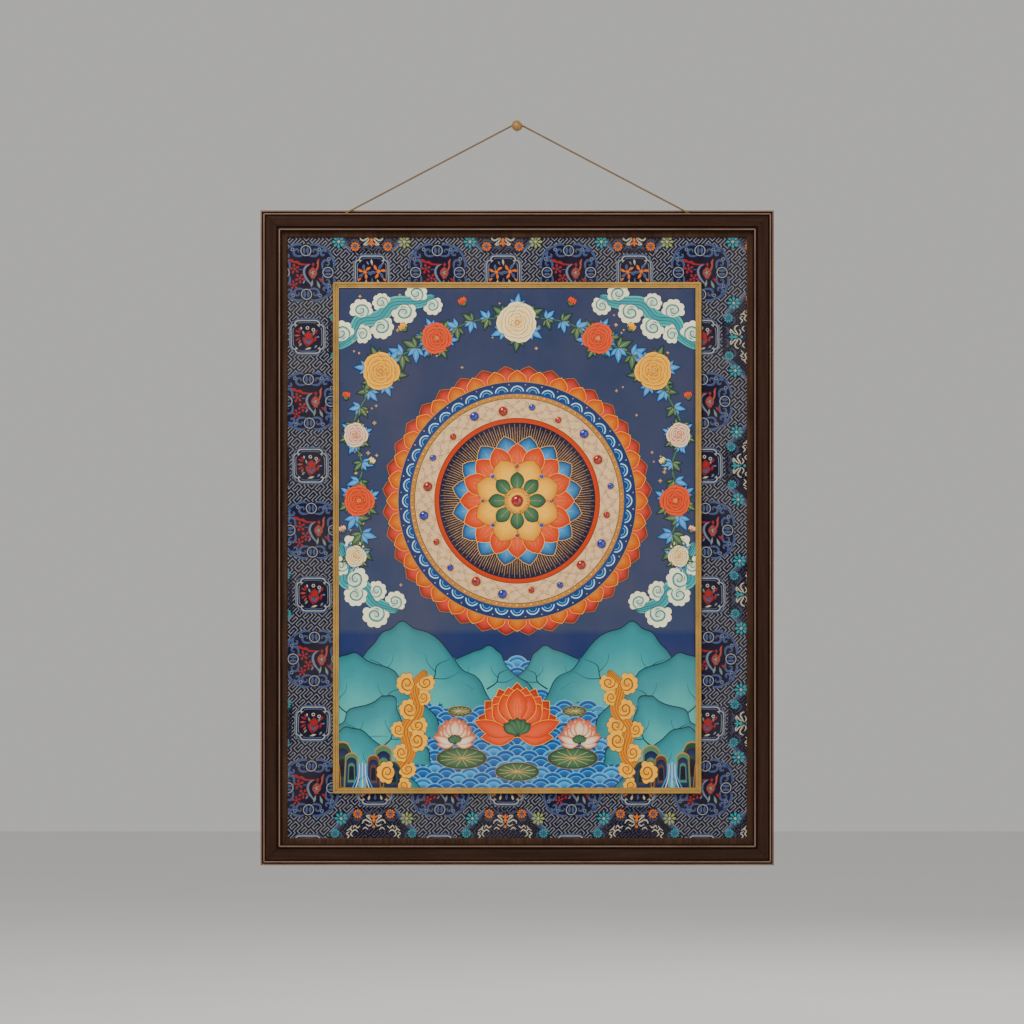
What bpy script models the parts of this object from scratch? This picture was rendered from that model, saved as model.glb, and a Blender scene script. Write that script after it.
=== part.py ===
"""Framed thangka hung by a taut cord from a slanting wall peg.

Metres, +Z up, +X to the viewer's right. The wall is the plane Y = 0 and the picture faces -Y.
The origin is the middle of the peg's foot on the wall.
"""

import math

import bmesh
import bpy
from mathutils import Vector

MM = 0.001
CLEARANCE = 0.3 * MM  # left between pieces that touch

# The frame, measured over its outer edges.
FRAME_WIDTH = 610 * MM
FRAME_HEIGHT = 778 * MM
KNOB_TO_FRAME = 100.0 * MM  # from the knob's middle down to the frame's top edge

# The rail's section: u runs inwards from the outer edge, h runs out from the wall.
RAIL_WIDTH = 25.0 * MM
RABBET_U = 17.5 * MM
RAIL_LIP_H = 10.5 * MM
BEAD_RADIUS = 1.0 * MM
BEAD_STEPS = 8
OUTER_BEAD = (1.0 * MM, 12.0 * MM)
SECOND_BEAD = (4.2 * MM, 14.0 * MM)
INNER_BEAD = (22.6 * MM, 16.5 * MM)
OUTER_GROOVE_H = 11.4 * MM
SECOND_GROOVE_H = 13.6 * MM
INNER_GROOVE_H = 14.6 * MM
FLAT_U = (6.6 * MM, 19.4 * MM)
FLAT_H = 16.0 * MM
FLAT_ARRIS = 0.7 * MM
SIGHT_COVE_H = 14.2 * MM
GROOVE_CORNER = 0.22  # of a groove's width, taken up by each rounded corner

# What lies in the rabbet, from the wall outwards.
BACKING_H = (1.6 * MM, 5.6 * MM)
BROCADE_THICKNESS = 1.8 * MM
SLIP_WIDTH = 14.2 * MM
SLIP_THICKNESS = 2.2 * MM
SLIP_SLOPE = 1.6 * MM
SLIP_DROP = 1.1 * MM

# The painted canvas and the gilt fillet around it.
PAINTING_WIDTH = 424 * MM
PAINTING_HEIGHT = 594 * MM
CANVAS_THICKNESS = 1.2 * MM
CANVAS_MARGIN = 2.6 * MM  # hidden under the fillet
FILLET_WIDTH = 7.0 * MM
FILLET_HEIGHT = 4.2 * MM
FILLET_REBATE = 3.4 * MM
OUTER_REED_RADIUS = 1.5 * MM
INNER_REED_RADIUS = 1.1 * MM
INNER_REED_DROP = 0.55 * MM
INNER_REED_START = 150  # degrees, where it rises out of the outer reed
REED_STEPS = 6

# The peg, a turned one that slants up and away from the wall.
PEG_TILT = math.radians(6)
PEG_NECK_RADIUS = 3.0 * MM
PEG_WAIST_RADIUS = 2.6 * MM
PEG_WAIST_HALF = 2.2 * MM
PEG_COLLAR_RADIUS = 4.2 * MM
PEG_COLLAR_WIDTH = 1.4 * MM
PEG_KNOB_RADIUS = 6.5 * MM
PEG_KNOB_OUT = 22.5 * MM  # the knob's middle, out from the wall
PEG_ROOT = 4.0 * MM  # turned past the wall plane, then cut off flush with it
ROUND_STEPS = 32
KNOB_STEPS = 10

# The cord.
CORD_DIAMETER = 2.2 * MM
CORD_OUT = 14.6 * MM  # its plane, out from the wall
CORD_PITCH = 2.9 * CORD_DIAMETER
CHANNEL_RADIUS = CORD_DIAMETER / 2 + 0.35 * MM
CHANNEL_START = 12  # the route's point where the cord first comes near the rail

# The right half of the cord's route, from over the peg down into the top rail: x, h and z in millimetres.
CORD_ROUTE = (
    (0.00, 14.60, 5.55),
    (0.64, 14.60, 5.50),
    (1.27, 14.60, 5.34),
    (1.87, 14.60, 5.09),
    (3.00, 14.60, 4.49),
    (5.00, 14.60, 3.44),
    (9.00, 14.60, 1.34),
    (20.00, 14.60, -4.44),
    (60.00, 14.60, -25.47),
    (110.00, 14.60, -51.76),
    (160.00, 14.60, -78.04),
    (185.00, 14.60, -91.18),
    (193.00, 14.60, -95.39),
    (197.00, 14.58, -97.49),
    (200.20, 14.20, -99.16),
    (202.60, 12.85, -100.37),
    (204.40, 10.95, -101.17),
    (206.00, 8.85, -101.84),
    (207.60, 6.75, -102.50),
)

KNOB_RISE = PEG_KNOB_OUT * math.tan(PEG_TILT)
FRAME_TOP = KNOB_RISE - KNOB_TO_FRAME
FRAME_MIDDLE_Z = FRAME_TOP - FRAME_HEIGHT / 2
BROCADE_H = BACKING_H[1] + CLEARANCE
BROCADE_FACE_H = BROCADE_H + BROCADE_THICKNESS
ON_BROCADE_H = BROCADE_FACE_H + CLEARANCE
RABBET_FIT = RABBET_U + CLEARANCE
FILLET_OUTER_WIDTH = PAINTING_WIDTH + 2 * FILLET_WIDTH
FILLET_OUTER_HEIGHT = PAINTING_HEIGHT + 2 * FILLET_WIDTH

SIDES = ("top", "right", "bottom", "left")


def clear_scene():
    for obj in list(bpy.data.objects):
        bpy.data.objects.remove(obj, do_unlink=True)
    for collection in list(bpy.data.collections):
        bpy.data.collections.remove(collection)


def new_collection(name):
    collection = bpy.data.collections.new(name)
    bpy.context.scene.collection.children.link(collection)
    return collection


def new_material(name, colour, roughness, metallic=0.0):
    material = bpy.data.materials.new(name)
    material.use_nodes = True
    shader = material.node_tree.nodes["Principled BSDF"]
    shader.inputs["Base Color"].default_value = (*colour, 1.0)
    shader.inputs["Roughness"].default_value = roughness
    shader.inputs["Metallic"].default_value = metallic
    return material


def arc(centre, radius, start, end, steps):
    """Points on an arc, its angles in degrees."""
    angles = [math.radians(start + (end - start) * i / steps) for i in range(steps + 1)]
    return [(centre[0] + radius * math.cos(a), centre[1] + radius * math.sin(a)) for a in angles]


def bead(centre):
    return arc(centre, BEAD_RADIUS, 180, 0, BEAD_STEPS)


def groove(left, right, floor):
    """A groove's floor between two raised members, narrowed to round its corners."""
    inset = (right - left) * GROOVE_CORNER
    return [(left, floor + inset), (left + inset, floor), (right - inset, floor), (right, floor + inset)]


def rail_outline():
    """The moulding's section, from its back outer corner round to its rabbet."""
    outline = [(0.0, 0.0)]
    outline += bead(OUTER_BEAD)
    outline += groove(OUTER_BEAD[0] + BEAD_RADIUS, SECOND_BEAD[0] - BEAD_RADIUS, OUTER_GROOVE_H)
    outline += bead(SECOND_BEAD)
    outline += groove(SECOND_BEAD[0] + BEAD_RADIUS, FLAT_U[0], SECOND_GROOVE_H)
    outline += [(FLAT_U[0], FLAT_H - FLAT_ARRIS), (FLAT_U[0] + FLAT_ARRIS, FLAT_H)]
    outline += [(FLAT_U[1] - FLAT_ARRIS, FLAT_H), (FLAT_U[1], FLAT_H - FLAT_ARRIS)]
    outline += groove(FLAT_U[1], INNER_BEAD[0] - BEAD_RADIUS, INNER_GROOVE_H)
    outline += bead(INNER_BEAD)
    outline += [(INNER_BEAD[0] + BEAD_RADIUS, SIGHT_COVE_H + BEAD_RADIUS)]
    outline += [(RAIL_WIDTH, SIGHT_COVE_H), (RAIL_WIDTH, RAIL_LIP_H)]
    outline += [(RABBET_U, RAIL_LIP_H), (RABBET_U, 0.0)]
    return outline


def slip_outline():
    """The flat inner strip, whose free edge slopes down to the brocade."""
    inner = RABBET_FIT + SLIP_WIDTH
    top = ON_BROCADE_H + SLIP_THICKNESS
    return [
        (RABBET_FIT, ON_BROCADE_H),
        (RABBET_FIT, top),
        (inner - SLIP_SLOPE, top),
        (inner, top - SLIP_DROP),
        (inner, ON_BROCADE_H),
    ]


def fillet_outline():
    """Two reeds over a rebate that laps the canvas's edge."""
    top = ON_BROCADE_H + FILLET_HEIGHT
    outer = (OUTER_REED_RADIUS, top - OUTER_REED_RADIUS)
    inner = (2 * OUTER_REED_RADIUS + INNER_REED_RADIUS, outer[1] - INNER_REED_DROP)
    lap = ON_BROCADE_H + CANVAS_THICKNESS + CLEARANCE
    outline = [(0.0, ON_BROCADE_H)]
    outline += arc(outer, OUTER_REED_RADIUS, 180, 0, REED_STEPS)
    outline += arc(inner, INNER_REED_RADIUS, INNER_REED_START, 0, REED_STEPS)
    outline += [(FILLET_WIDTH, lap + INNER_REED_RADIUS), (FILLET_WIDTH, lap)]
    outline += [(FILLET_REBATE, lap), (FILLET_REBATE, ON_BROCADE_H)]
    return outline


def extrude_outline(name, outline, length):
    """A solid with the outline in its XY plane, as long as given along Z, its middle at the origin."""
    curve = bpy.data.curves.new(name, "CURVE")
    curve.dimensions = "2D"
    curve.fill_mode = "BOTH"
    curve.extrude = length / 2
    spline = curve.splines.new("POLY")
    spline.points.add(len(outline) - 1)
    for point, (x, y) in zip(spline.points, outline):
        point.co = (x, y, 0.0, 1.0)
    spline.use_cyclic_u = True
    return mesh_of_curve(name, curve)


def mesh_of_curve(name, curve):
    """The curve's closed mesh, its caps welded and its faces turned out."""
    source = bpy.data.objects.new(name + "_curve", curve)
    bpy.context.scene.collection.objects.link(source)
    depsgraph = bpy.context.evaluated_depsgraph_get()
    mesh = bpy.data.meshes.new_from_object(source.evaluated_get(depsgraph))
    bpy.data.objects.remove(source, do_unlink=True)
    work = bmesh.new()
    work.from_mesh(mesh)
    bmesh.ops.remove_doubles(work, verts=work.verts, dist=1e-6)
    bmesh.ops.recalc_face_normals(work, faces=work.faces)
    work.to_mesh(mesh)
    work.free()
    mesh.name = name
    return mesh


def add_object(name, mesh, material, collection):
    mesh.materials.clear()
    mesh.materials.append(material)
    obj = bpy.data.objects.new(name, mesh)
    collection.objects.link(obj)
    return obj


def mitred_strip(name, outline, span, reach):
    """One side of a four-sided border: its outline extruded along X and mitred at both ends.

    The border's middle is at the origin, its outer edge is reach above it and span long.
    """
    mesh = extrude_outline(name, outline, span)
    mitre_gap = CLEARANCE / math.sqrt(2)
    for vertex in mesh.vertices:
        u, h, along = vertex.co
        end = span / 2 - u - mitre_gap
        vertex.co = (math.copysign(end, along), -h, reach - u)
    work = bmesh.new()
    work.from_mesh(mesh)
    bmesh.ops.recalc_face_normals(work, faces=work.faces)
    work.to_mesh(mesh)
    work.free()
    return mesh


def add_border(stem, outline, width, height, material, collection, middle):
    """Four mitred strips round a rectangle, each turned to its own side."""
    strips = []
    for turn, side in enumerate(SIDES):
        across = turn % 2 == 1
        span, reach = (height, width / 2) if across else (width, height / 2)
        name = f"{stem}_{side}"
        strip = add_object(name, mitred_strip(name, outline, span, reach), material, collection)
        strip.rotation_euler = (0.0, turn * math.pi / 2, 0.0)
        strip.parent = middle
        strips.append(strip)
    return strips


def move_to(obj, collection):
    """Take an object out of the collections it is in and put it in this one."""
    for owner in list(obj.users_collection):
        owner.objects.unlink(obj)
    collection.objects.link(obj)


def add_sheet(name, width, height, near, far, material, collection, middle):
    """A flat upright sheet, its faces at distances near and far from the wall."""
    bpy.ops.mesh.primitive_cube_add(size=1.0)
    sheet = bpy.context.object
    sheet.name = name
    sheet.data.name = name
    for vertex in sheet.data.vertices:
        x, y, z = vertex.co
        vertex.co = (x * width, y * (far - near), z * height)
    sheet.data.materials.append(material)
    move_to(sheet, collection)
    sheet.location = (0.0, -(near + far) / 2, 0.0)
    sheet.parent = middle
    return sheet


def smooth_route(points, pitch):
    """A smooth curve through the points, read off about every pitch.

    Each stretch is a cubic whose end slopes come from the parabola through a point and its neighbours,
    taken over chord lengths, so straight stretches stay straight.
    """
    chords = [(b - a).length for a, b in zip(points, points[1:])]
    slopes = [(points[1] - points[0]) / chords[0]]
    for i in range(1, len(points) - 1):
        before = (points[i] - points[i - 1]) / chords[i - 1]
        after = (points[i + 1] - points[i]) / chords[i]
        slopes.append((before * chords[i] + after * chords[i - 1]) / (chords[i - 1] + chords[i]))
    slopes.append((points[-1] - points[-2]) / chords[-1])
    smooth = [points[0]]
    for i, chord in enumerate(chords):
        steps = max(1, round(chord / pitch))
        for step in range(1, steps + 1):
            t = step / steps
            start = points[i] * (2 * t**3 - 3 * t**2 + 1) + slopes[i] * chord * (t**3 - 2 * t**2 + t)
            end = points[i + 1] * (3 * t**2 - 2 * t**3) + slopes[i + 1] * chord * (t**3 - t**2)
            smooth.append(start + end)
    return smooth


def route_half(side):
    """The route's points on one side of the peg, in metres; side is 1 at the right and -1 at the left."""
    return [Vector((side * x, -h, z)) * MM for x, h, z in CORD_ROUTE]


def tube_curve(name, points, radius):
    curve = bpy.data.curves.new(name, "CURVE")
    curve.dimensions = "3D"
    curve.bevel_depth = radius
    curve.bevel_resolution = 2
    curve.use_fill_caps = True
    spline = curve.splines.new("POLY")
    spline.points.add(len(points) - 1)
    for point, place in zip(spline.points, points):
        point.co = (*place, 1.0)
    return curve


def add_cord(material, collection):
    """One taut cord: out of the top rail, over the peg and back into the rail."""
    points = route_half(-1)[:0:-1] + route_half(1)
    curve = tube_curve("hanging_cord", smooth_route(points, CORD_PITCH), CORD_DIAMETER / 2)
    curve.materials.append(material)
    cord = bpy.data.objects.new("hanging_cord", curve)
    collection.objects.link(cord)
    return cord


def cut_cord_channels(rail, cutters):
    """The two slanting channels in the top rail that the cord's ends are let into."""
    for side, name in ((1, "right"), (-1, "left")):
        points = route_half(side)[CHANNEL_START:]
        inwards = (points[-1] - points[-2]).normalized()
        points.append(points[-1] + inwards * CORD_DIAMETER / 2)
        curve = tube_curve(f"channel_{name}", smooth_route(points, CORD_DIAMETER / 2), CHANNEL_RADIUS)
        mesh = mesh_of_curve(f"channel_{name}", curve)
        cutter = bpy.data.objects.new(f"channel_{name}", mesh)
        cutters.objects.link(cutter)
        cutter.hide_render = True
        cutter.display_type = "WIRE"
        cut = rail.modifiers.new(f"channel_{name}", "BOOLEAN")
        cut.operation = "DIFFERENCE"
        cut.solver = "EXACT"
        cut.object = cutter


def peg_profile():
    """The peg's turned side, from the knob's tip down to its root: radius and place along its axis."""
    knob_place = PEG_KNOB_OUT / math.cos(PEG_TILT)
    waist_place = CORD_OUT / math.cos(PEG_TILT) + CORD_DIAMETER / 4
    meet = math.degrees(math.asin(PEG_COLLAR_RADIUS / PEG_KNOB_RADIUS))
    profile = arc((0.0, knob_place), PEG_KNOB_RADIUS, 90, meet - 90, KNOB_STEPS)
    profile[0] = (0.0, profile[0][1])
    profile += [
        (PEG_COLLAR_RADIUS, profile[-1][1] - PEG_COLLAR_WIDTH),
        (PEG_WAIST_RADIUS, waist_place + PEG_WAIST_HALF / 2),
        (PEG_WAIST_RADIUS, waist_place - PEG_WAIST_HALF / 2),
        (PEG_NECK_RADIUS, waist_place - PEG_WAIST_HALF),
        (PEG_NECK_RADIUS, -PEG_ROOT),
        (0.0, -PEG_ROOT),
    ]
    return profile


def add_peg(material, collection, cutters):
    """The turned peg, slanted up, with its root cut off flush with the wall."""
    mesh = bpy.data.meshes.new("wall_peg")
    profile = peg_profile()
    edges = [(i, i + 1) for i in range(len(profile) - 1)]
    mesh.from_pydata([(radius, 0.0, place) for radius, place in profile], edges, [])
    peg = add_object("wall_peg", mesh, material, collection)
    turn = peg.modifiers.new("turned", "SCREW")
    turn.steps = ROUND_STEPS
    turn.render_steps = ROUND_STEPS
    turn.use_merge_vertices = True
    turn.merge_threshold = 0.00001
    peg.rotation_euler = (math.pi / 2 - PEG_TILT, 0.0, 0.0)
    bpy.ops.mesh.primitive_cube_add(size=4 * PEG_ROOT, location=(0.0, 2 * PEG_ROOT, 0.0))
    wall = bpy.context.object
    wall.name = "wall_cut"
    move_to(wall, cutters)
    wall.hide_render = True
    wall.display_type = "WIRE"
    cut = peg.modifiers.new("flush_with_wall", "BOOLEAN")
    cut.operation = "DIFFERENCE"
    cut.solver = "EXACT"
    cut.object = wall
    return peg


def main():
    clear_scene()
    parts = new_collection("framed_thangka")
    cutters = new_collection("cutters")

    wood = new_material("dark_wood", (0.045, 0.022, 0.014), 0.42)
    slip_wood = new_material("red_brown_wood", (0.095, 0.032, 0.016), 0.5)
    gilt = new_material("old_gilt", (0.50, 0.32, 0.10), 0.38, 0.6)
    silk = new_material("navy_brocade", (0.03, 0.03, 0.06), 0.7)
    canvas = new_material("painted_cotton", (0.10, 0.12, 0.20), 0.75)
    board = new_material("backing_board", (0.33, 0.22, 0.12), 0.8)
    brass = new_material("aged_brass", (0.42, 0.27, 0.10), 0.4, 0.8)
    hemp = new_material("tan_cord", (0.26, 0.18, 0.10), 0.85)

    middle = bpy.data.objects.new("frame_middle", None)
    middle.location = (0.0, 0.0, FRAME_MIDDLE_Z)
    parts.objects.link(middle)

    rails = add_border("rail", rail_outline(), FRAME_WIDTH, FRAME_HEIGHT, wood, parts, middle)
    add_border("slip", slip_outline(), FRAME_WIDTH, FRAME_HEIGHT, slip_wood, parts, middle)
    add_border(
        "fillet", fillet_outline(), FILLET_OUTER_WIDTH, FILLET_OUTER_HEIGHT, gilt, parts, middle
    )

    sheet_width = FRAME_WIDTH - 2 * RABBET_FIT
    sheet_height = FRAME_HEIGHT - 2 * RABBET_FIT
    add_sheet("backing_board", sheet_width, sheet_height, *BACKING_H, board, parts, middle)
    add_sheet("brocade_mount", sheet_width, sheet_height, BROCADE_H, BROCADE_FACE_H, silk, parts, middle)
    add_sheet(
        "painted_canvas",
        PAINTING_WIDTH + 2 * CANVAS_MARGIN,
        PAINTING_HEIGHT + 2 * CANVAS_MARGIN,
        ON_BROCADE_H,
        ON_BROCADE_H + CANVAS_THICKNESS,
        canvas,
        parts,
        middle,
    )

    add_peg(brass, parts, cutters)
    add_cord(hemp, parts)
    cut_cord_channels(rails[0], cutters)


main()
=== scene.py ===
"""Looks of a framed thangka: dark wood with painted groove shade and bead highlights, old gilt, brocade
floats, gouache and set stones.

Sizes in the classes are millimetres. Flat work is laid out on a face, x to the right and z up from
the frame's middle, and stands out from it towards the viewer.
"""

import logging
import math
from collections.abc import Callable, Iterable, Iterator, Sequence
from contextlib import contextmanager
from dataclasses import dataclass, replace
from enum import Enum

import bmesh
import bpy
import numpy as np
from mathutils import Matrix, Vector


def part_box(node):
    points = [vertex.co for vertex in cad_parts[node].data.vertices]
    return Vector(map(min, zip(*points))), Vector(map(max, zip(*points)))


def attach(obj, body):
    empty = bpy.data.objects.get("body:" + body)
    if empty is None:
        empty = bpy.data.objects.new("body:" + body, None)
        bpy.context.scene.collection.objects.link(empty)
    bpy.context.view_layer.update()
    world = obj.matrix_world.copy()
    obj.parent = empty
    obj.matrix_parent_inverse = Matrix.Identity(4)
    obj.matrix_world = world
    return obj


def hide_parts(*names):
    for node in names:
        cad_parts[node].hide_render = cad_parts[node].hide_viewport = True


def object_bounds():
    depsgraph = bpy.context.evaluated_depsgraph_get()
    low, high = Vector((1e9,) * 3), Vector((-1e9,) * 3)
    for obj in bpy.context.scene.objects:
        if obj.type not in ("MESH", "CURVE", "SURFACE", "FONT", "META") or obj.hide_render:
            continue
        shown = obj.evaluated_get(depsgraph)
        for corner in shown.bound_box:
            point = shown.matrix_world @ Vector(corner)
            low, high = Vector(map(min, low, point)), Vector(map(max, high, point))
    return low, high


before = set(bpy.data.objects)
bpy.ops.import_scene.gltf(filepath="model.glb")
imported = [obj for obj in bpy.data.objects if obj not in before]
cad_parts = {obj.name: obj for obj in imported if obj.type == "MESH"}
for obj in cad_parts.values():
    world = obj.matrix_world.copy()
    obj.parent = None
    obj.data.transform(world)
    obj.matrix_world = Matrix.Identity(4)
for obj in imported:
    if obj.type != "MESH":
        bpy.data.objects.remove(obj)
CAD_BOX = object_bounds()

LOG = logging.getLogger("thangka")
MM = 0.001
BODY = "root"
TINT = "tint"
PHOTO_SIDE = 1024

# How far one painted or woven layer stands over the one below, and a motif's heart over its rim.
LAYER = 0.025
CROWN = 0.035
OUTLINE = 0.5
# How the default view shows scene light: its tone curve is close to a logistic one, and it pales
# colours either side of that curve. A matt white face sends back WHITE_LIGHT, and gloss adds HAZE.
TONE_MIDDLE = 0.2236
TONE_CONTRAST = 1.2245
PALING = 0.62
WHITE_LIGHT = 1.65
HAZE = 0.010

Colour = tuple[float, float, float]
Array = np.ndarray
Pair = tuple[float, float]
Line = Iterable[Sequence[float]]
Tree = bpy.types.NodeTree
Node = bpy.types.Node
Socket = bpy.types.NodeSocket
Material = bpy.types.Material
Object = bpy.types.Object


def srgb(red: float, green: float, blue: float) -> Colour:
    """Linear colour of an 8-bit display colour."""
    levels = np.array((red, green, blue)) / 255.0
    return tuple(np.where(levels <= 0.04045, levels / 12.92, ((levels + 0.055) / 1.055) ** 2.4).tolist())


def seen(red: float, green: float, blue: float) -> Colour:
    """Pigment that shows as an 8-bit display colour under the studio's light.

    Args:
        red: The wanted display level, 0 to 255.
        green: The wanted display level.
        blue: The wanted display level.

    Returns:
        The linear base colour.
    """
    shown = np.array(srgb(red, green, blue))
    paled = shown.mean() + (shown - shown.mean()) * PALING
    level = np.where(paled <= 0.0031308, paled * 12.92, 1.055 * paled ** (1 / 2.4) - 0.055)
    light = TONE_MIDDLE * (level / (1.0 - level)) ** TONE_CONTRAST
    light = light.mean() + (light - light.mean()) / PALING
    return tuple(np.clip((light - HAZE) / WHITE_LIGHT, 0.001, 0.95).tolist())


def blend(first: Sequence[float], second: Sequence[float], share: float) -> Colour:
    """Colour part of the way from first to second."""
    return tuple(a + (b - a) * share for a, b in zip(first, second))


@dataclass(frozen=True)
class Tone:
    """A motif's shading from its heart to its rim, and the line drawn round it, if any."""

    core: Colour
    rim: Colour
    line: Colour | None = None


# ---------------------------------------------------------------- shader nodes


class Bench:
    """Adds and links shader nodes in one tree."""

    def __init__(self, tree: Tree) -> None:
        """Work on the given tree."""
        self.tree = tree

    def feed(self, socket: Socket, value: object) -> None:
        """Link a socket, or set the input's own value.

        Args:
            socket: The input.
            value: A socket to link, a number or a colour; None leaves the input alone.
        """
        if isinstance(value, Socket):
            self.tree.links.new(value, socket)
        elif value is not None:
            socket.default_value = (*value, 1.0) if socket.type == "RGBA" and len(value) == 3 else value

    def node(self, kind: str, *values: object, **settings: object) -> Node:
        """Add a node.

        Args:
            kind: Its type's name without the ShaderNode prefix.
            *values: What feeds its inputs, in order.
            **settings: Attributes to set on it.

        Returns:
            The new node.
        """
        new = self.tree.nodes.new("ShaderNode" + kind)
        column, row = divmod(len(self.tree.nodes), 8)
        new.location = (180 * column, -220 * row)
        for name, value in settings.items():
            setattr(new, name, value)
        for socket, value in zip(new.inputs, values):
            self.feed(socket, value)
        return new

    def math(self, operation: str, *values: object) -> Socket:
        """Work out one step on values."""
        return self.node("Math", *values, operation=operation).outputs[0]

    def mix(self, share: object, first: object, second: object, way: str = "MIX") -> Socket:
        """Mix two colours by a share."""
        new = self.node("Mix", share, *[None] * 5, first, second, data_type="RGBA", blend_type=way)
        return new.outputs[2]

    def shaded(self, colour: object, shade: Socket) -> Socket:
        """Multiply a colour by a shade."""
        return self.mix(1.0, colour, self.join(shade, shade, shade), "MULTIPLY")

    def noise(self, place: object, scale: object, detail: float = 3.0, rough: float = 0.55) -> Socket:
        """Noise over a place, as fine as its scale says."""
        return self.node("TexNoise", place, None, scale, detail, rough).outputs[0]

    def streaks(self, place: object, scale: Sequence[float], detail: float = 3.0,
                rough: float = 0.55) -> Socket:
        """Noise over a place that is scaled by its own factor along each axis."""
        return self.noise(self.node("Mapping", place, None, None, scale).outputs[0], 1.0, detail, rough)

    def spread(self, value: object, low: float, high: float, to_low: float = 0.0,
               to_high: float = 1.0) -> Socket:
        """Map a value from one range to another, clamped."""
        return self.node("MapRange", value, low, high, to_low, to_high, clamp=True).outputs[0]

    def axes(self, place: object) -> tuple[Socket, ...]:
        """Split a place into its three coordinates."""
        return tuple(self.node("SeparateXYZ", place).outputs)

    def join(self, x: object, y: object, z: object) -> Socket:
        """Make a place of three coordinates."""
        return self.node("CombineXYZ", x, y, z).outputs[0]


class Group(Bench):
    """A node group on the bench, with named inputs and outputs."""

    def __init__(self, name: str, **inputs: str | float) -> None:
        """Start a group.

        Args:
            name: Its name.
            **inputs: Each input's socket kind, Vector or Color, or a plain number's default.
        """
        super().__init__(bpy.data.node_groups.new(name, "ShaderNodeTree"))
        for label, kind in inputs.items():
            plain = not isinstance(kind, str)
            socket_type = "NodeSocket" + ("Float" if plain else kind)
            socket = self.tree.interface.new_socket(label, in_out="INPUT", socket_type=socket_type)
            if plain:
                socket.default_value = kind
        self.given = self.tree.nodes.new("NodeGroupInput").outputs

    def give(self, **outputs: Socket) -> Tree:
        """Name the group's outputs.

        Args:
            **outputs: What feeds each of them.

        Returns:
            The group.
        """
        for label, value in outputs.items():
            kind = "NodeSocketColor" if value.type == "RGBA" else "NodeSocketFloat"
            self.tree.interface.new_socket(label, in_out="OUTPUT", socket_type=kind)
        target = self.tree.nodes.new("NodeGroupOutput").inputs
        for label, value in outputs.items():
            self.feed(target[label], value)
        return self.tree


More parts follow.
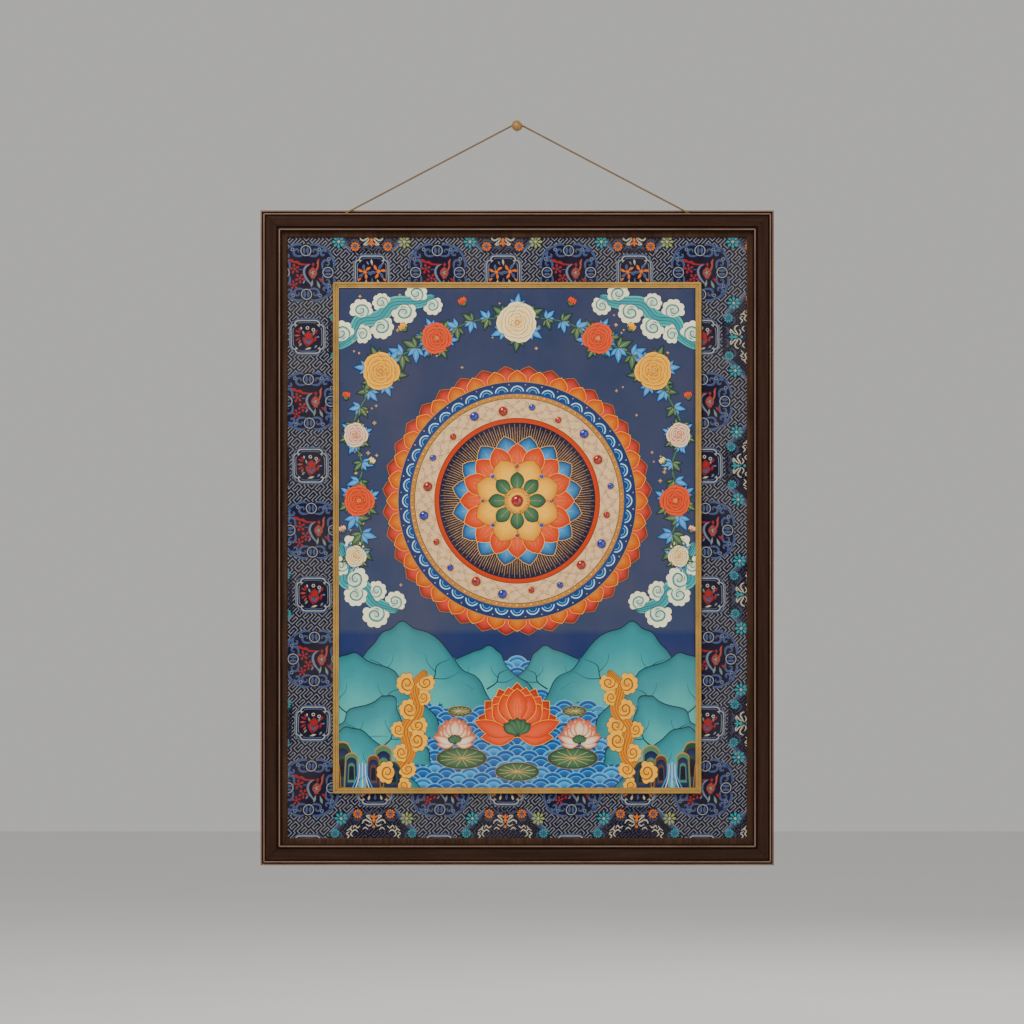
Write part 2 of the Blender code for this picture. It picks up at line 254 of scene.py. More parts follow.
class Effects:
    """The shared surface effects, each built once and placed in the materials that need it."""

    def __init__(self) -> None:
        """Build every group."""
        self.grain = self._grain()
        self.weave = self._weave()
        self.soiling = self._soiling()
        self.brush = self._brush()

    @staticmethod
    def _grain() -> Tree:
        """Wood grain that runs along the place's X axis, with fine pores.

        Returns:
            The group.
        """
        bench = Group("Wood grain", Place="Vector", Light="Color", Dark="Color")
        place, light, dark = list(bench.given)[:3]
        figure = bench.streaks(place, (0.011, 0.30, 0.30), 4.0, 0.6)
        pores = bench.streaks(place, (0.09, 3.2, 3.2), 2.0, 0.7)
        colour = bench.mix(bench.spread(figure, 0.32, 0.68), dark, light)
        return bench.give(
            Color=bench.shaded(colour, bench.spread(pores, 0.30, 0.45, 0.55)), Pores=pores, Figure=figure
        )

    @staticmethod
    def _weave() -> Tree:
        """Twill of warp and weft threads on an upright face, and its slubs.

        Returns:
            The group.
        """
        bench = Group("Thread weave", Place="Vector", Pitch=0.5, Slub=0.25)
        place, pitch, slub = list(bench.given)[:3]
        across, _, up = bench.axes(place)
        turn = bench.math("DIVIDE", math.tau, pitch)
        drift = bench.math("MULTIPLY", bench.streaks(place, (0.05,) * 3), 3.0)
        warp, weft = (
            bench.math("SINE", bench.math("ADD", bench.math("MULTIPLY", way, turn), drift))
            for way in (across, up)
        )
        slant = bench.math("MULTIPLY", bench.math("ADD", across, up), bench.math("MULTIPLY", turn, 0.5))
        over = bench.spread(bench.math("SINE", slant), -0.4, 0.4)
        under = bench.math("SUBTRACT", 1.0, over)
        height = bench.math("ADD", bench.math("MULTIPLY", warp, over), bench.math("MULTIPLY", weft, under))
        slubs, ends = (
            bench.math("SUBTRACT", bench.streaks(place, scale, 3.0, 0.6), 0.5)
            for scale in ((0.12, 1.0, 1.9), (1.9, 1.0, 0.12))
        )
        thick = bench.math("ADD", slubs, ends)
        uneven = bench.math("MULTIPLY", thick, bench.math("MULTIPLY", slub, 4.0))
        return bench.give(
            Height=bench.math("ADD", bench.math("MULTIPLY", height, 0.5), thick),
            Shade=bench.math("ADD", 1.0, uneven),
            Warp=over,
        )

    @staticmethod
    def _soiling() -> Tree:
        """Cloudy dust and age tone over a colour.

        Returns:
            The group.
        """
        bench = Group("Age and dust", Place="Vector", Color="Color", Dust="Color", Amount=0.2, Span=60.0)
        place, colour, dust, amount, span = list(bench.given)[:5]
        broad = bench.noise(place, bench.math("DIVIDE", 1.0, span), 5.0, None)
        mask = bench.math("MULTIPLY", bench.spread(broad, 0.40, 0.72), amount)
        return bench.give(Color=bench.mix(mask, colour, dust))

    @staticmethod
    def _brush() -> Tree:
        """Gouache laid on sized cotton: brush streaks, pooled pigment and cloth showing through.

        Returns:
            The group.
        """
        bench = Group("Brushed pigment", Place="Vector", Color="Color", Streaks=0.25)
        place, colour, amount = list(bench.given)[:3]
        across, _, up = bench.axes(place)
        streaks = bench.streaks(place, (0.25, 1.0, 1.6), 4.0, 0.65)
        pools = bench.streaks(place, (0.045,) * 3, 4.0, 0.6)
        cloth_x, cloth_z = (
            bench.math("SINE", bench.math("MULTIPLY", way, math.tau / 0.7)) for way in (across, up)
        )
        cloth = bench.math("MULTIPLY", bench.math("ADD", cloth_x, cloth_z), 0.25)
        drift = bench.math("ADD", bench.math("SUBTRACT", streaks, 0.5), bench.math("SUBTRACT", pools, 0.5))
        uneven = bench.math("MULTIPLY", drift, bench.math("MULTIPLY", amount, 3.0))
        return bench.give(
            Color=bench.shaded(colour, bench.math("ADD", 1.0, uneven)),
            Height=bench.math("ADD", cloth, streaks),
        )


# ---------------------------------------------------------------- finishes


class Surface(Bench):
    """A bench on a fresh material's tree, with the shared effects at hand."""

    def __init__(self, name: str, effects: Effects) -> None:
        """Start a material.

        Args:
            name: Its name.
            effects: The shared node groups.
        """
        self.material = bpy.data.materials.new(name)
        self.material.use_nodes = True
        super().__init__(self.material.node_tree)
        self.effects = effects
        where = self.node("TexCoord").outputs["Object"]
        self.place = self.node("Mapping", where, None, None, (1 / MM,) * 3).outputs[0]

    def use(self, group: Tree, *values: object) -> Sequence[Socket]:
        """Place a node group, feed its inputs in order and return its outputs."""
        return self.node("Group", *values, node_tree=group).outputs

    def tint(self) -> Socket:
        """The mesh's own colour."""
        return self.node("Attribute", attribute_name=TINT).outputs["Color"]

    def aged(self, colour: object, dust: Colour, amount: float, span: float) -> Socket:
        """Lay the shared age and dust over a colour."""
        return self.use(self.effects.soiling, self.place, colour, dust, amount, span)[0]

    def finish(self, colour: Socket, rough: object, height: Socket | None = None, depth: float = 0.0,
               strength: float = 0.6, **plain: float) -> Material:
        """Feed the shader.

        Args:
            colour: Its base colour.
            rough: Its roughness.
            height: The relief that its normal is bumped by, if any.
            depth: That relief's depth in millimetres.
            strength: How strongly it shows.
            **plain: Numbers for the shader's other inputs; underscores stand for spaces.

        Returns:
            The material.
        """
        shader = self.tree.nodes["Principled BSDF"].inputs
        self.feed(shader["Base Color"], colour)
        self.feed(shader["Roughness"], rough)
        if height:
            bump = self.node("Bump", strength, depth * MM)
            self.feed(bump.inputs["Height"], height)
            self.feed(shader["Normal"], bump.outputs[0])
        for name, value in plain.items():
            shader[name.replace("_", " ")].default_value = value
        return self.material


@dataclass(frozen=True)
class WoodFinish:
    """Stained rails: painted shade lies at set distances in from the frame's outer edge, in the grooves and
    on the step at the sight edge, and the bead crests carry a patchy painted highlight.
    """

    half_width: float
    half_height: float
    middle_z: float
    rail: float = 27.0
    light: Colour = seen(65, 42, 32)
    dark: Colour = seen(46, 29, 22)
    # Colour of the painted highlight on the bead crests.
    rubbed: Colour = seen(148, 121, 104)
    # Near-black painted shade for the grooves and the sight-edge step.
    groove_shade: Colour = (0.003, 0.002, 0.0015)
    gloss: float = 0.10
    beads: tuple[float, ...] = (1.0, 4.2, 22.6)
    bead_reach: float = 1.05
    bead_depth: float = 10.8
    # How much painted shade lies at each distance in: the grooves between the beads and the step down at the
    # sight edge.
    groove_shade_at: tuple[tuple[float, float], ...] = (
        (0.0, 0), (1.9, 0), (2.1, 1), (3.1, 1), (3.3, 0), (5.1, 0), (5.3, 1), (6.5, 0.9), (7.4, 0),
        (19.3, 0), (19.6, 1), (21.5, 1), (21.8, 0), (23.5, 0), (23.8, 1), (27.0, 1),
    )

    def build(self, effects: Effects) -> Material:
        """Make the material.

        Args:
            effects: The shared node groups.

        Returns:
            One material for all four rails, whose grain turns at the mitres.
        """
        bench = Surface("dark_wood_painted_light", effects)
        x, out, z = bench.axes(bench.place)
        inwards_x = bench.math("SUBTRACT", self.half_width, bench.math("ABSOLUTE", x))
        rise = bench.math("ABSOLUTE", bench.math("SUBTRACT", z, self.middle_z))
        inwards_z = bench.math("SUBTRACT", self.half_height, rise)
        lying = bench.math("LESS_THAN", inwards_z, inwards_x)
        edge = bench.math("MINIMUM", inwards_x, inwards_z)
        upright = bench.math("MULTIPLY", z, bench.math("SUBTRACT", 1.0, lying))
        along = bench.math("ADD", bench.math("MULTIPLY", x, lying), upright)
        place = bench.join(along, edge, bench.math("ADD", out, bench.math("MULTIPLY", lying, 55.0)))
        grain = bench.use(effects.grain, place, self.light, self.dark)
        # Painted highlight: the bead crests on the front face are lighter, in noisy patches.
        near = [bench.math("ABSOLUTE", bench.math("SUBTRACT", edge, bead)) for bead in self.beads]
        nearest = bench.math("MINIMUM", bench.math("MINIMUM", near[0], near[1]), near[2])
        crest = bench.spread(nearest, self.bead_reach * 0.45, self.bead_reach, 1.0, 0.0)
        highlight_patches = bench.spread(bench.streaks(place, (0.03, 0.5, 0.5)), 0.25, 0.6, 0.62)
        forward = bench.math("LESS_THAN", out, -self.bead_depth)
        rubbed = bench.math("MULTIPLY", bench.math("MULTIPLY", crest, highlight_patches), forward)
        # Painted shade from the table above: near-black in the grooves and on the step down at the sight
        # edge.
        ramp = bench.node("ValToRGB", bench.math("DIVIDE", edge, self.rail))
        stops = ramp.color_ramp.elements
        for distance, _ in self.groove_shade_at[1:-1]:
            stops.new(distance / self.rail)
        for stop, (_, amount) in zip(stops, self.groove_shade_at):
            stop.color = (amount, amount, amount, 1.0)
        groove_shade_amount = bench.math("MULTIPLY", ramp.outputs[0], 0.85)
        colour = bench.mix(rubbed, bench.mix(groove_shade_amount, grain["Color"], self.groove_shade), self.rubbed)
        rough = bench.spread(grain["Figure"], 0.3, 0.7, 0.52, 0.38)
        return bench.finish(colour, rough, grain["Pores"], 0.12, 0.5, Specular_IOR_Level=self.gloss)


@dataclass(frozen=True)
class PlainWoodFinish:
    """Bare or stained wood whose grain runs up the piece."""

    name: str
    light: Colour
    dark: Colour
    roughness: float = 0.6
    gloss: float = 0.08

    def build(self, effects: Effects) -> Material:
        """Make the material.

        Args:
            effects: The shared node groups.

        Returns:
            The material.
        """
        bench = Surface(self.name, effects)
        x, out, z = bench.axes(bench.place)
        grain = bench.use(effects.grain, bench.join(z, x, out), self.light, self.dark)
        colour = bench.aged(grain["Color"], blend(self.dark, (0.0, 0.0, 0.0), 0.5), 0.5, 45.0)
        rough = bench.spread(grain["Pores"], 0.3, 0.7, self.roughness + 0.1, self.roughness)
        return bench.finish(colour, rough, grain["Pores"], 0.15, Specular_IOR_Level=self.gloss)


@dataclass(frozen=True)
class MetalFinish:
    """Gilt or brass whose tone varies in soft random clouds, with dust over it."""

    name: str
    bright: Colour
    deep: Colour
    metallic: float
    roughness: float
    span: float = 9.0
    pits: float = 0.05
    grime: float = 0.35
    gloss: float = 0.5

    def build(self, effects: Effects) -> Material:
        """Make the material.

        Args:
            effects: The shared node groups.

        Returns:
            The material.
        """
        bench = Surface(self.name, effects)
        cloud = bench.streaks(bench.place, (1 / self.span,) * 3, 4.0, 0.65)
        fine = bench.streaks(bench.place, (1.4,) * 3, 2.0, 0.5)
        base = bench.mix(bench.spread(cloud, 0.35, 0.65), self.deep, self.bright)
        colour = bench.aged(base, blend(self.deep, (0.0, 0.0, 0.0), 0.45), self.grime, self.span * 2.6)
        rough = bench.spread(fine, 0.3, 0.7, self.roughness - 0.06, self.roughness + 0.1)
        plain = {"Specular_IOR_Level": self.gloss, "Metallic": self.metallic}
        return bench.finish(colour, rough, fine, self.pits, 0.7, **plain)


@dataclass(frozen=True)
class SilkFinish:
    """Woven silk; the colour is the mesh's own tint, or one ground colour."""

    name: str
    ground: Colour | None = None
    pitch: float = 0.55
    slub: float = 0.16
    depth: float = 0.10
    sheen: float = 0.04
    gloss: float = 0.12
    roughness: float = 0.55

    def build(self, effects: Effects) -> Material:
        """Make the material.

        Args:
            effects: The shared node groups.

        Returns:
            The material.
        """
        bench = Surface(self.name, effects)
        weave = bench.use(effects.weave, bench.place, self.pitch, self.slub)
        toned = bench.shaded(self.ground or bench.tint(), weave["Shade"])
        colour = bench.aged(toned, srgb(96, 88, 80), 0.16, 75.0)
        rough = bench.spread(weave["Warp"], 0.0, 1.0, self.roughness - 0.08, self.roughness + 0.08)
        plain = {"Specular_IOR_Level": self.gloss, "Sheen_Weight": self.sheen, "Sheen_Roughness": 0.5}
        return bench.finish(colour, rough, weave["Height"], self.depth, **plain)


@dataclass(frozen=True)
class PaintFinish:
    """Matt pigment in size; the colour is the mesh's own tint."""

    name: str
    streaks: float = 0.07
    gloss: float = 0.12
    roughness: float = 0.72

    def build(self, effects: Effects) -> Material:
        """Make the material.

        Args:
            effects: The shared node groups.

        Returns:
            The material.
        """
        bench = Surface(self.name, effects)
        paint = bench.use(effects.brush, bench.place, bench.tint(), self.streaks)
        colour = bench.aged(paint["Color"], srgb(120, 100, 78), 0.10, 90.0)
        rough = bench.spread(paint["Height"], 0.2, 0.9, self.roughness, self.roughness - 0.14)
        return bench.finish(colour, rough, paint["Height"], 0.06, Specular_IOR_Level=self.gloss)


@dataclass(frozen=True)
class StoneFinish:
    """Polished cabochons: deep colour under a clear gloss, with veins."""

    name: str
    deep: Colour
    bright: Colour

    def build(self, effects: Effects) -> Material:
        """Make the material.

        Args:
            effects: The shared node groups.

        Returns:
            The material.
        """
        bench = Surface(self.name, effects)
        veins = bench.spread(bench.streaks(bench.place, (0.45,) * 3, 4.0, 0.6), 0.35, 0.7)
        colour = bench.aged(bench.mix(veins, self.deep, self.bright), self.deep, 0.4, 6.0)
        return bench.finish(colour, 0.12, Coat_Weight=0.6, Coat_Roughness=0.05)


@dataclass(frozen=True)
class CordFinish:
    """Twisted bast cord, its fibres streaked lighter and darker."""

    light: Colour = seen(158, 134, 98)
    dark: Colour = seen(108, 88, 60)
    gloss: float = 0.05

    def build(self, effects: Effects) -> Material:
        """Make the material.

        Args:
            effects: The shared node groups.

        Returns:
            The material.
        """
        bench = Surface("twisted_cord", effects)
        fibres = bench.streaks(bench.place, (0.9, 3.0, 3.0), 3.0, 0.7)
        base = bench.mix(bench.spread(fibres, 0.3, 0.7), self.dark, self.light)
        colour = bench.aged(base, self.dark, 0.5, 30.0)
        return bench.finish(colour, 0.85, fibres, 0.2, 0.8, Specular_IOR_Level=self.gloss)


# ---------------------------------------------------------------- places and meshes


@dataclass(frozen=True)
class Face:
    """An upright face that flat work is laid out on, in metres; its cloth may have drifted sideways."""

    middle_x: float
    middle_z: float
    front: float
    heights: Sequence[float] = (0.0,)
    drifts: Sequence[float] = (0.0,)

    def place(self, flat: Array) -> Array:
        """Lay rows out on the face.

        Args:
            flat: Rows of x, z and how far each stands out, in millimetres.

        Returns:
            Points in metres, a little out of true as stretched cloth is.
        """
        x, z = flat[..., 0] + np.interp(flat[..., 1], self.heights, self.drifts), flat[..., 1]
        sway = 0.03 * np.sin(x / 61.0 + 0.8) * np.sin(z / 83.0) + 0.015 * np.sin(x / 23.0 - z / 37.0)
        out = (flat[..., 2] + sway) * MM
        return np.stack([self.middle_x + x * MM, self.front - out, self.middle_z + z * MM], -1)


@dataclass(frozen=True)
class Layout:
    """Where the CAD put things."""

    middle_z: float
    half_width: float
    half_height: float
    brocade: Face
    canvas: Face
    sheet_half: Pair
    canvas_half: Pair
    fillet_half: Pair

    @classmethod
    def from_frame(cls) -> "Layout":
        """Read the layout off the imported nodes.

        Returns:
            The layout.
        """
        top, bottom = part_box("rail_top")[1].z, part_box("rail_bottom")[0].z
        left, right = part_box("rail_left")[0].x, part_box("rail_right")[1].x
        middle = ((left + right) / 2, (top + bottom) / 2)
        sheet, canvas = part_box("brocade_mount"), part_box("painted_canvas")

        def half(box: Sequence[Vector]) -> Pair:
            """Half a box's width and height in millimetres."""
            return ((box[1].x - box[0].x) / 2 / MM, (box[1].z - box[0].z) / 2 / MM)

        return cls(
            middle_z=middle[1],
            half_width=(right - left) / 2 / MM,
            half_height=(top - bottom) / 2 / MM,
            brocade=Face(*middle, sheet[0].y),
            canvas=Face(*middle, canvas[0].y),
            sheet_half=half(sheet),
            canvas_half=half(canvas),
            fillet_half=(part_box("fillet_right")[1].x / MM, (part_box("fillet_top")[1].z - middle[1]) / MM),
        )


def shrunk(half: Pair, by: float) -> Pair:
    """A half size made smaller."""
    return (half[0] - by, half[1] - by)


class MeshMaker:
    """Gathers grids and fans of points with their tints, and makes one mesh object of them."""

    def __init__(self, name: str) -> None:
        """Start an empty mesh.

        Args:
            name: The object's name.
        """
        self.name = name
        self.points: list[Array] = []
        self.tints: list[Array] = []
        self.faces: list[Array] = []
        self.count = 0

    def _keep(self, points: Array, tints: Array, faces: Array) -> None:
        """Store points, tints and faces.

        Args:
            points: Rows of points in metres.
            tints: A colour for each.
            faces: Rows of four indices; the last is -1 on a triangle.
        """
        self.points.append(points)
        self.tints.append(tints)
        self.faces.append(faces)
        self.count += len(points)

    def grid(self, points: Array, tints: Array, wrap: bool = False, close: bool = False) -> None:
        """Add a grid of quads.

        Args:
            points: Rows and columns of points in metres, shape (rows, columns, 3).
            tints: A colour for each point, the same shape.
            wrap: Whether the last column joins the first.
            close: Whether the last row joins the first.
        """
        index = np.arange(points[..., 0].size).reshape(points.shape[:2]) + self.count
        index = np.pad(index, ((0, close), (0, wrap)), "wrap")
        quads = np.stack([index[:-1, :-1], index[1:, :-1], index[1:, 1:], index[:-1, 1:]], -1).reshape(-1, 4)
        self._keep(points.reshape(-1, 3), tints.reshape(-1, 3), quads)

    def rings(self, points: Array, tints: Array, top: Array, top_tint: Array) -> None:
        """Add closed rings of points and the hub that the last one closes on.

        Args:
            points: The rings, from the rim in.
            tints: Their colours.
            top: The hub.
            top_tint: The hub's colour.
        """
        self.grid(points, tints, wrap=True)
        around = points.shape[1]
        last = np.arange(around) + self.count - around
        fan = np.stack([last, np.full(around, self.count), np.roll(last, -1), np.full(around, -1)], -1)
        self._keep(top[None], top_tint[None], fan)

    def fan(self, middle: Array, ring: Array, tint: float) -> None:
        """Close a ring of points with triangles.

        Args:
            middle: The point that they share.
            ring: The ring.
            tint: How pale they all are.
        """
        size = len(ring)
        at = np.arange(size) + self.count + 1
        triangles = np.stack([np.full(size, self.count), at, np.roll(at, -1), np.full(size, -1)], -1)
        self._keep(np.vstack([middle[None], ring]), np.full((size + 1, 3), tint), triangles)

    def build(self, material: Material, outwards: bool = True) -> Object:
        """Make the object.

        Args:
            material: Its material.
            outwards: Whether faces that look away from the viewer are turned over.

        Returns:
            The new object, smooth shaded, with its tints in a colour attribute.
        """
        points = np.concatenate(self.points)
        faces = np.concatenate(self.faces)
        if outwards:
            first, second, third = (points[faces[:, i]] for i in range(3))
            away = np.cross(second - first, third - first)[:, 1] > 0
            turned = faces[away]
            threes = turned[:, 3] < 0
            turned[threes, :3] = turned[threes, 2::-1]
            turned[~threes] = turned[~threes, ::-1]
            faces[away] = turned
        mesh = bpy.data.meshes.new(self.name)
        mesh.from_pydata(points.tolist(), [], [[at for at in face if at >= 0] for face in faces.tolist()])
        colours = np.ones((len(points), 4), np.float32)
        colours[:, :3] = np.concatenate(self.tints)
        mesh.color_attributes.new(TINT, "FLOAT_COLOR", "POINT").data.foreach_set("color", colours.ravel())
        mesh.polygons.foreach_set("use_smooth", np.ones(len(mesh.polygons), bool))
        mesh.materials.append(material)
        return shown(self.name, mesh)


def shown(name: str, data: bpy.types.ID) -> Object:
    """Put a new object of some data in the scene.

    Args:
        name: The object's name.
        data: Its mesh, lamp or camera.

    Returns:
        The object.
    """
    made = bpy.data.objects.new(name, data)
    bpy.context.scene.collection.objects.link(made)
    return made


def adopt(piece: Object, slot: str, *nodes: str) -> Object:
    """Let a piece ride on the body.

    Args:
        piece: The piece.
        slot: Not used.
        *nodes: The CAD nodes that it replaces, if any.

    Returns:
        The piece.
    """
    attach(piece, BODY)
    if nodes:
        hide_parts(*nodes)
    LOG.info("%s: %d faces", piece.name, len(piece.data.polygons))
    return piece


def dress(material: Material, *nodes: str) -> None:
    """Give CAD nodes that stay a better material.

    Args:
        material: The material.
        *nodes: The nodes' names.
    """
    for node in nodes:
        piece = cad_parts[node]
        if not piece.material_slots:
            piece.data.materials.append(material)
        for slot in piece.material_slots:
            slot.link = "OBJECT"
            slot.material = material
        LOG.info("%s: dressed in %s", node, material.name)


class Side(Enum):
    """The four sides of the frame, by the ends of their nodes' names."""

    TOP = "top"
    RIGHT = "right"
    BOTTOM = "bottom"
    LEFT = "left"

    @classmethod
    def all_of(cls, kind: str) -> list[str]:
        """The names of a kind's four nodes."""
        return [f"{kind}_{side.value}" for side in cls]


@dataclass
class Cloth:
    """A stretched cloth with its own thickness."""

    name: str
    face: Face
    half: Pair
    step: float
    thick: float

    def build(self, material: Material, tone: Callable[[Array, Array], Array]) -> Object:
        """Make the cloth.

        Args:
            material: Its material.
            tone: The tint for each x and z.

        Returns:
            The new object, closed by its thickness.
        """
        maker = MeshMaker(self.name)
        spans = (np.linspace(-half, half, round(2 * half / self.step) + 1) for half in self.half)
        x, z = np.meshgrid(*spans)
        maker.grid(self.face.place(np.stack([x, z, np.zeros_like(x)], -1)), tone(x, z))
        piece = maker.build(material)
        solid = piece.modifiers.new("thickness", "SOLIDIFY")
        solid.thickness = self.thick * MM
        solid.offset = -1.0
        return piece


# ---------------------------------------------------------------- lines and outlines


def rows(points: Line) -> Array:
    """Points as rows of floats."""
    return np.array([tuple(point) for point in points], float)


def stacked(*parts: object) -> Array:
    """Rows made of one array for each column, or a number where a column is even."""
    return np.stack(np.broadcast_arrays(*parts), -1)


def smooth(points: Line, steps: int = 5) -> Array:
    """Draw a flowing line through points.

    Args:
        points: Rows of numbers; the first two are usually x and z, and more ride along, such as a width.
        steps: Pieces between one point and the next.

    Returns:
        The line's rows.
    """
    given = rows(points)
    padded = np.vstack([2 * given[0] - given[1], given, 2 * given[-1] - given[-2]])
    t = np.linspace(0.0, 1.0, steps, endpoint=False)[:, None]
    before, start, end, after = (padded[i : len(padded) - 3 + i] for i in range(4))
    drawn = [
        0.5 * (2 * b + (c - a) * t + (2 * a - 5 * b + 4 * c - d) * t**2 + (3 * b - a - 3 * c + d) * t**3)
        for a, b, c, d in zip(before, start, end, after)
    ]
    return np.vstack([*drawn, given[-1:]])


def run_of(line: Array) -> Array:
    """How far along a line each of its points lies."""
    return np.concatenate([[0.0], np.cumsum(np.linalg.norm(np.diff(line, axis=0), axis=1))])


def arc(x: float, z: float, radius: float, start: float, end: float, steps: int = 12) -> Array:
    """A round arc about a middle, from one angle in degrees to another."""
    angles = np.radians(np.linspace(start, end, steps + 1))
    return stacked(x + radius * np.cos(angles), z + radius * np.sin(angles))


def ring(radius: float, steps: int = 24, x: float = 0.0, z: float = 0.0) -> Array:
    """A closed circle's points."""
    return arc(x, z, radius, 0.0, 360.0, steps)[:-1]


def polar(reach: Array, angles: Array) -> Array:
    """Points at their own reach and angle about the origin."""
    return stacked(reach * np.cos(angles), reach * np.sin(angles))


def scallops(radius: float, lobes: int, depth: float, steps: int = 6) -> Array:
    """Draw a closed outline of round lobes.

    Args:
        radius: Its reach.
        lobes: How many.
        depth: The share of the radius that is lost between two lobes.
        steps: Points on each lobe.

    Returns:
        The outline, its first lobe pointing up.
    """
    angles = np.linspace(0.0, math.tau, lobes * steps, endpoint=False)
    reach = radius * (1.0 - depth * (1.0 - np.abs(np.cos(angles * lobes / 2.0))))
    return polar(reach, angles + math.radians(90.0))


def petal(length: float, width: float, base: float = 0.3, belly: float = 0.6, tip: float = 0.8,
          bend: float = 0.0, steps: int = 9) -> Array:
    """Outline of a petal that grows up from the origin.

    Args:
        length: From its base to its tip.
        width: At its widest.
        base: Its width at the base as a share of the widest.
        belly: How far up it is widest, as a share of its length.
        tip: Below 1 the tip is round, above 1 it is drawn out.
        bend: How far the tip leans to the right, as a share of the length.
        steps: Points on each side.

    Returns:
        The closed outline.
    """
    t = np.linspace(0.0, 1.0, steps + 1)
    swell = np.sin(math.pi * t ** (math.log(0.5) / math.log(belly))) ** tip
    half = width / 2 * np.maximum(swell, base * (1.0 - t / belly))
    middle = bend * length * t**2
    return np.vstack([stacked(middle - half, t * length), stacked(middle + half, t * length)[-2::-1]])


def sideways(line: Array, closed: bool = False) -> Array:
    """Find mitred steps to a line's left.

    Args:
        line: The line.
        closed: Whether it comes back to its start.

    Returns:
        One step for each of its points.
    """
    ahead = np.diff(np.vstack([line, line[:1]]) if closed else line, axis=0)
    ahead /= np.linalg.norm(ahead, axis=1)[:, None]
    left = stacked(-ahead[:, 1], ahead[:, 0])
    before = np.vstack([left[-1:], left[:-1]]) if closed else np.vstack([left[:1], left])
    after = left if closed else np.vstack([left, left[-1:]])
    both = before + after
    return both / np.maximum((both * after).sum(1), 0.5)[:, None]


def grown(outline: Array, reach: float) -> Array:
    """A closed outline moved outwards."""
    turning = (outline[:, 0] * np.roll(outline[:, 1], -1) - np.roll(outline[:, 0], -1) * outline[:, 1]).sum()
    return outline - sideways(outline, closed=True) * math.copysign(reach, turning)


class Easel:
    """Keeps where, which way round and how large motifs are being drawn."""

    def __init__(self) -> None:
        """Start at the face's middle, upright and in full size."""
        self.turns = np.eye(2)
        self.start = np.zeros(2)

    @contextmanager
    def at(self, x: float = 0.0, z: float = 0.0, turn: float = 0.0, size: float = 1.0,
           flip: bool = False) -> Iterator[None]:
        """Draw what follows from another place.

        Args:
            x: The place, to the right.
            z: The place, upwards.
            turn: Turned left by this many degrees.
            size: Its scale.
            flip: Whether left and right change places first.

        Yields:
            Nothing; the old place comes back at the end.
        """
        kept = self.turns, self.start
        angle = math.radians(turn)
        turned = np.array([[math.cos(angle), -math.sin(angle)], [math.sin(angle), math.cos(angle)]])
        self.start = self.turns @ np.array([x, z]) + self.start
        self.turns = self.turns @ turned @ np.diag([-size if flip else size, size])
        try:
            yield
        finally:
            self.turns, self.start = kept

    def each(self, places: Iterable[Sequence[float]]) -> Iterator[int]:
        """Draw from several places in turn.

        Args:
            places: What `at` takes, for each of them.

        Yields:
            Each place's number.
        """
        for i, place in enumerate(places):
            with self.at(*place):
                yield i

    def around(self, count: int, start: float = 0.0) -> Iterator[int]:
        """Turn right round in equal steps, yielding each one's number."""
        return self.each((0.0, 0.0, start + i * 360 / count) for i in range(count))

    def mirrored(self, x: float = 0.0, z: float = 0.0, turn: float = 0.0) -> Iterator[int]:
        """Draw at a place, and then at its mirror image across the upright through here.

        Args:
            x: The place, to the right.
            z: The place, upwards.
            turn: Turned left by this many degrees.

        Yields:
            0 for the first and 1 for its mirror image.
        """
        for i in self.each(((), (0.0, 0.0, 0.0, 1.0, True))):
            with self.at(x, z, turn):
                yield i

    def put(self, line: Array) -> Array:
        """Where a line's points fall on the face."""
        return line @ self.turns.T + self.start


def flat(*stops: tuple[float, Colour]) -> list[tuple[float, float, Colour]]:
    """A relief shape's rings that don't rise, of scales and colours."""
    return [(scale, 0.0, colour) for scale, colour in stops]


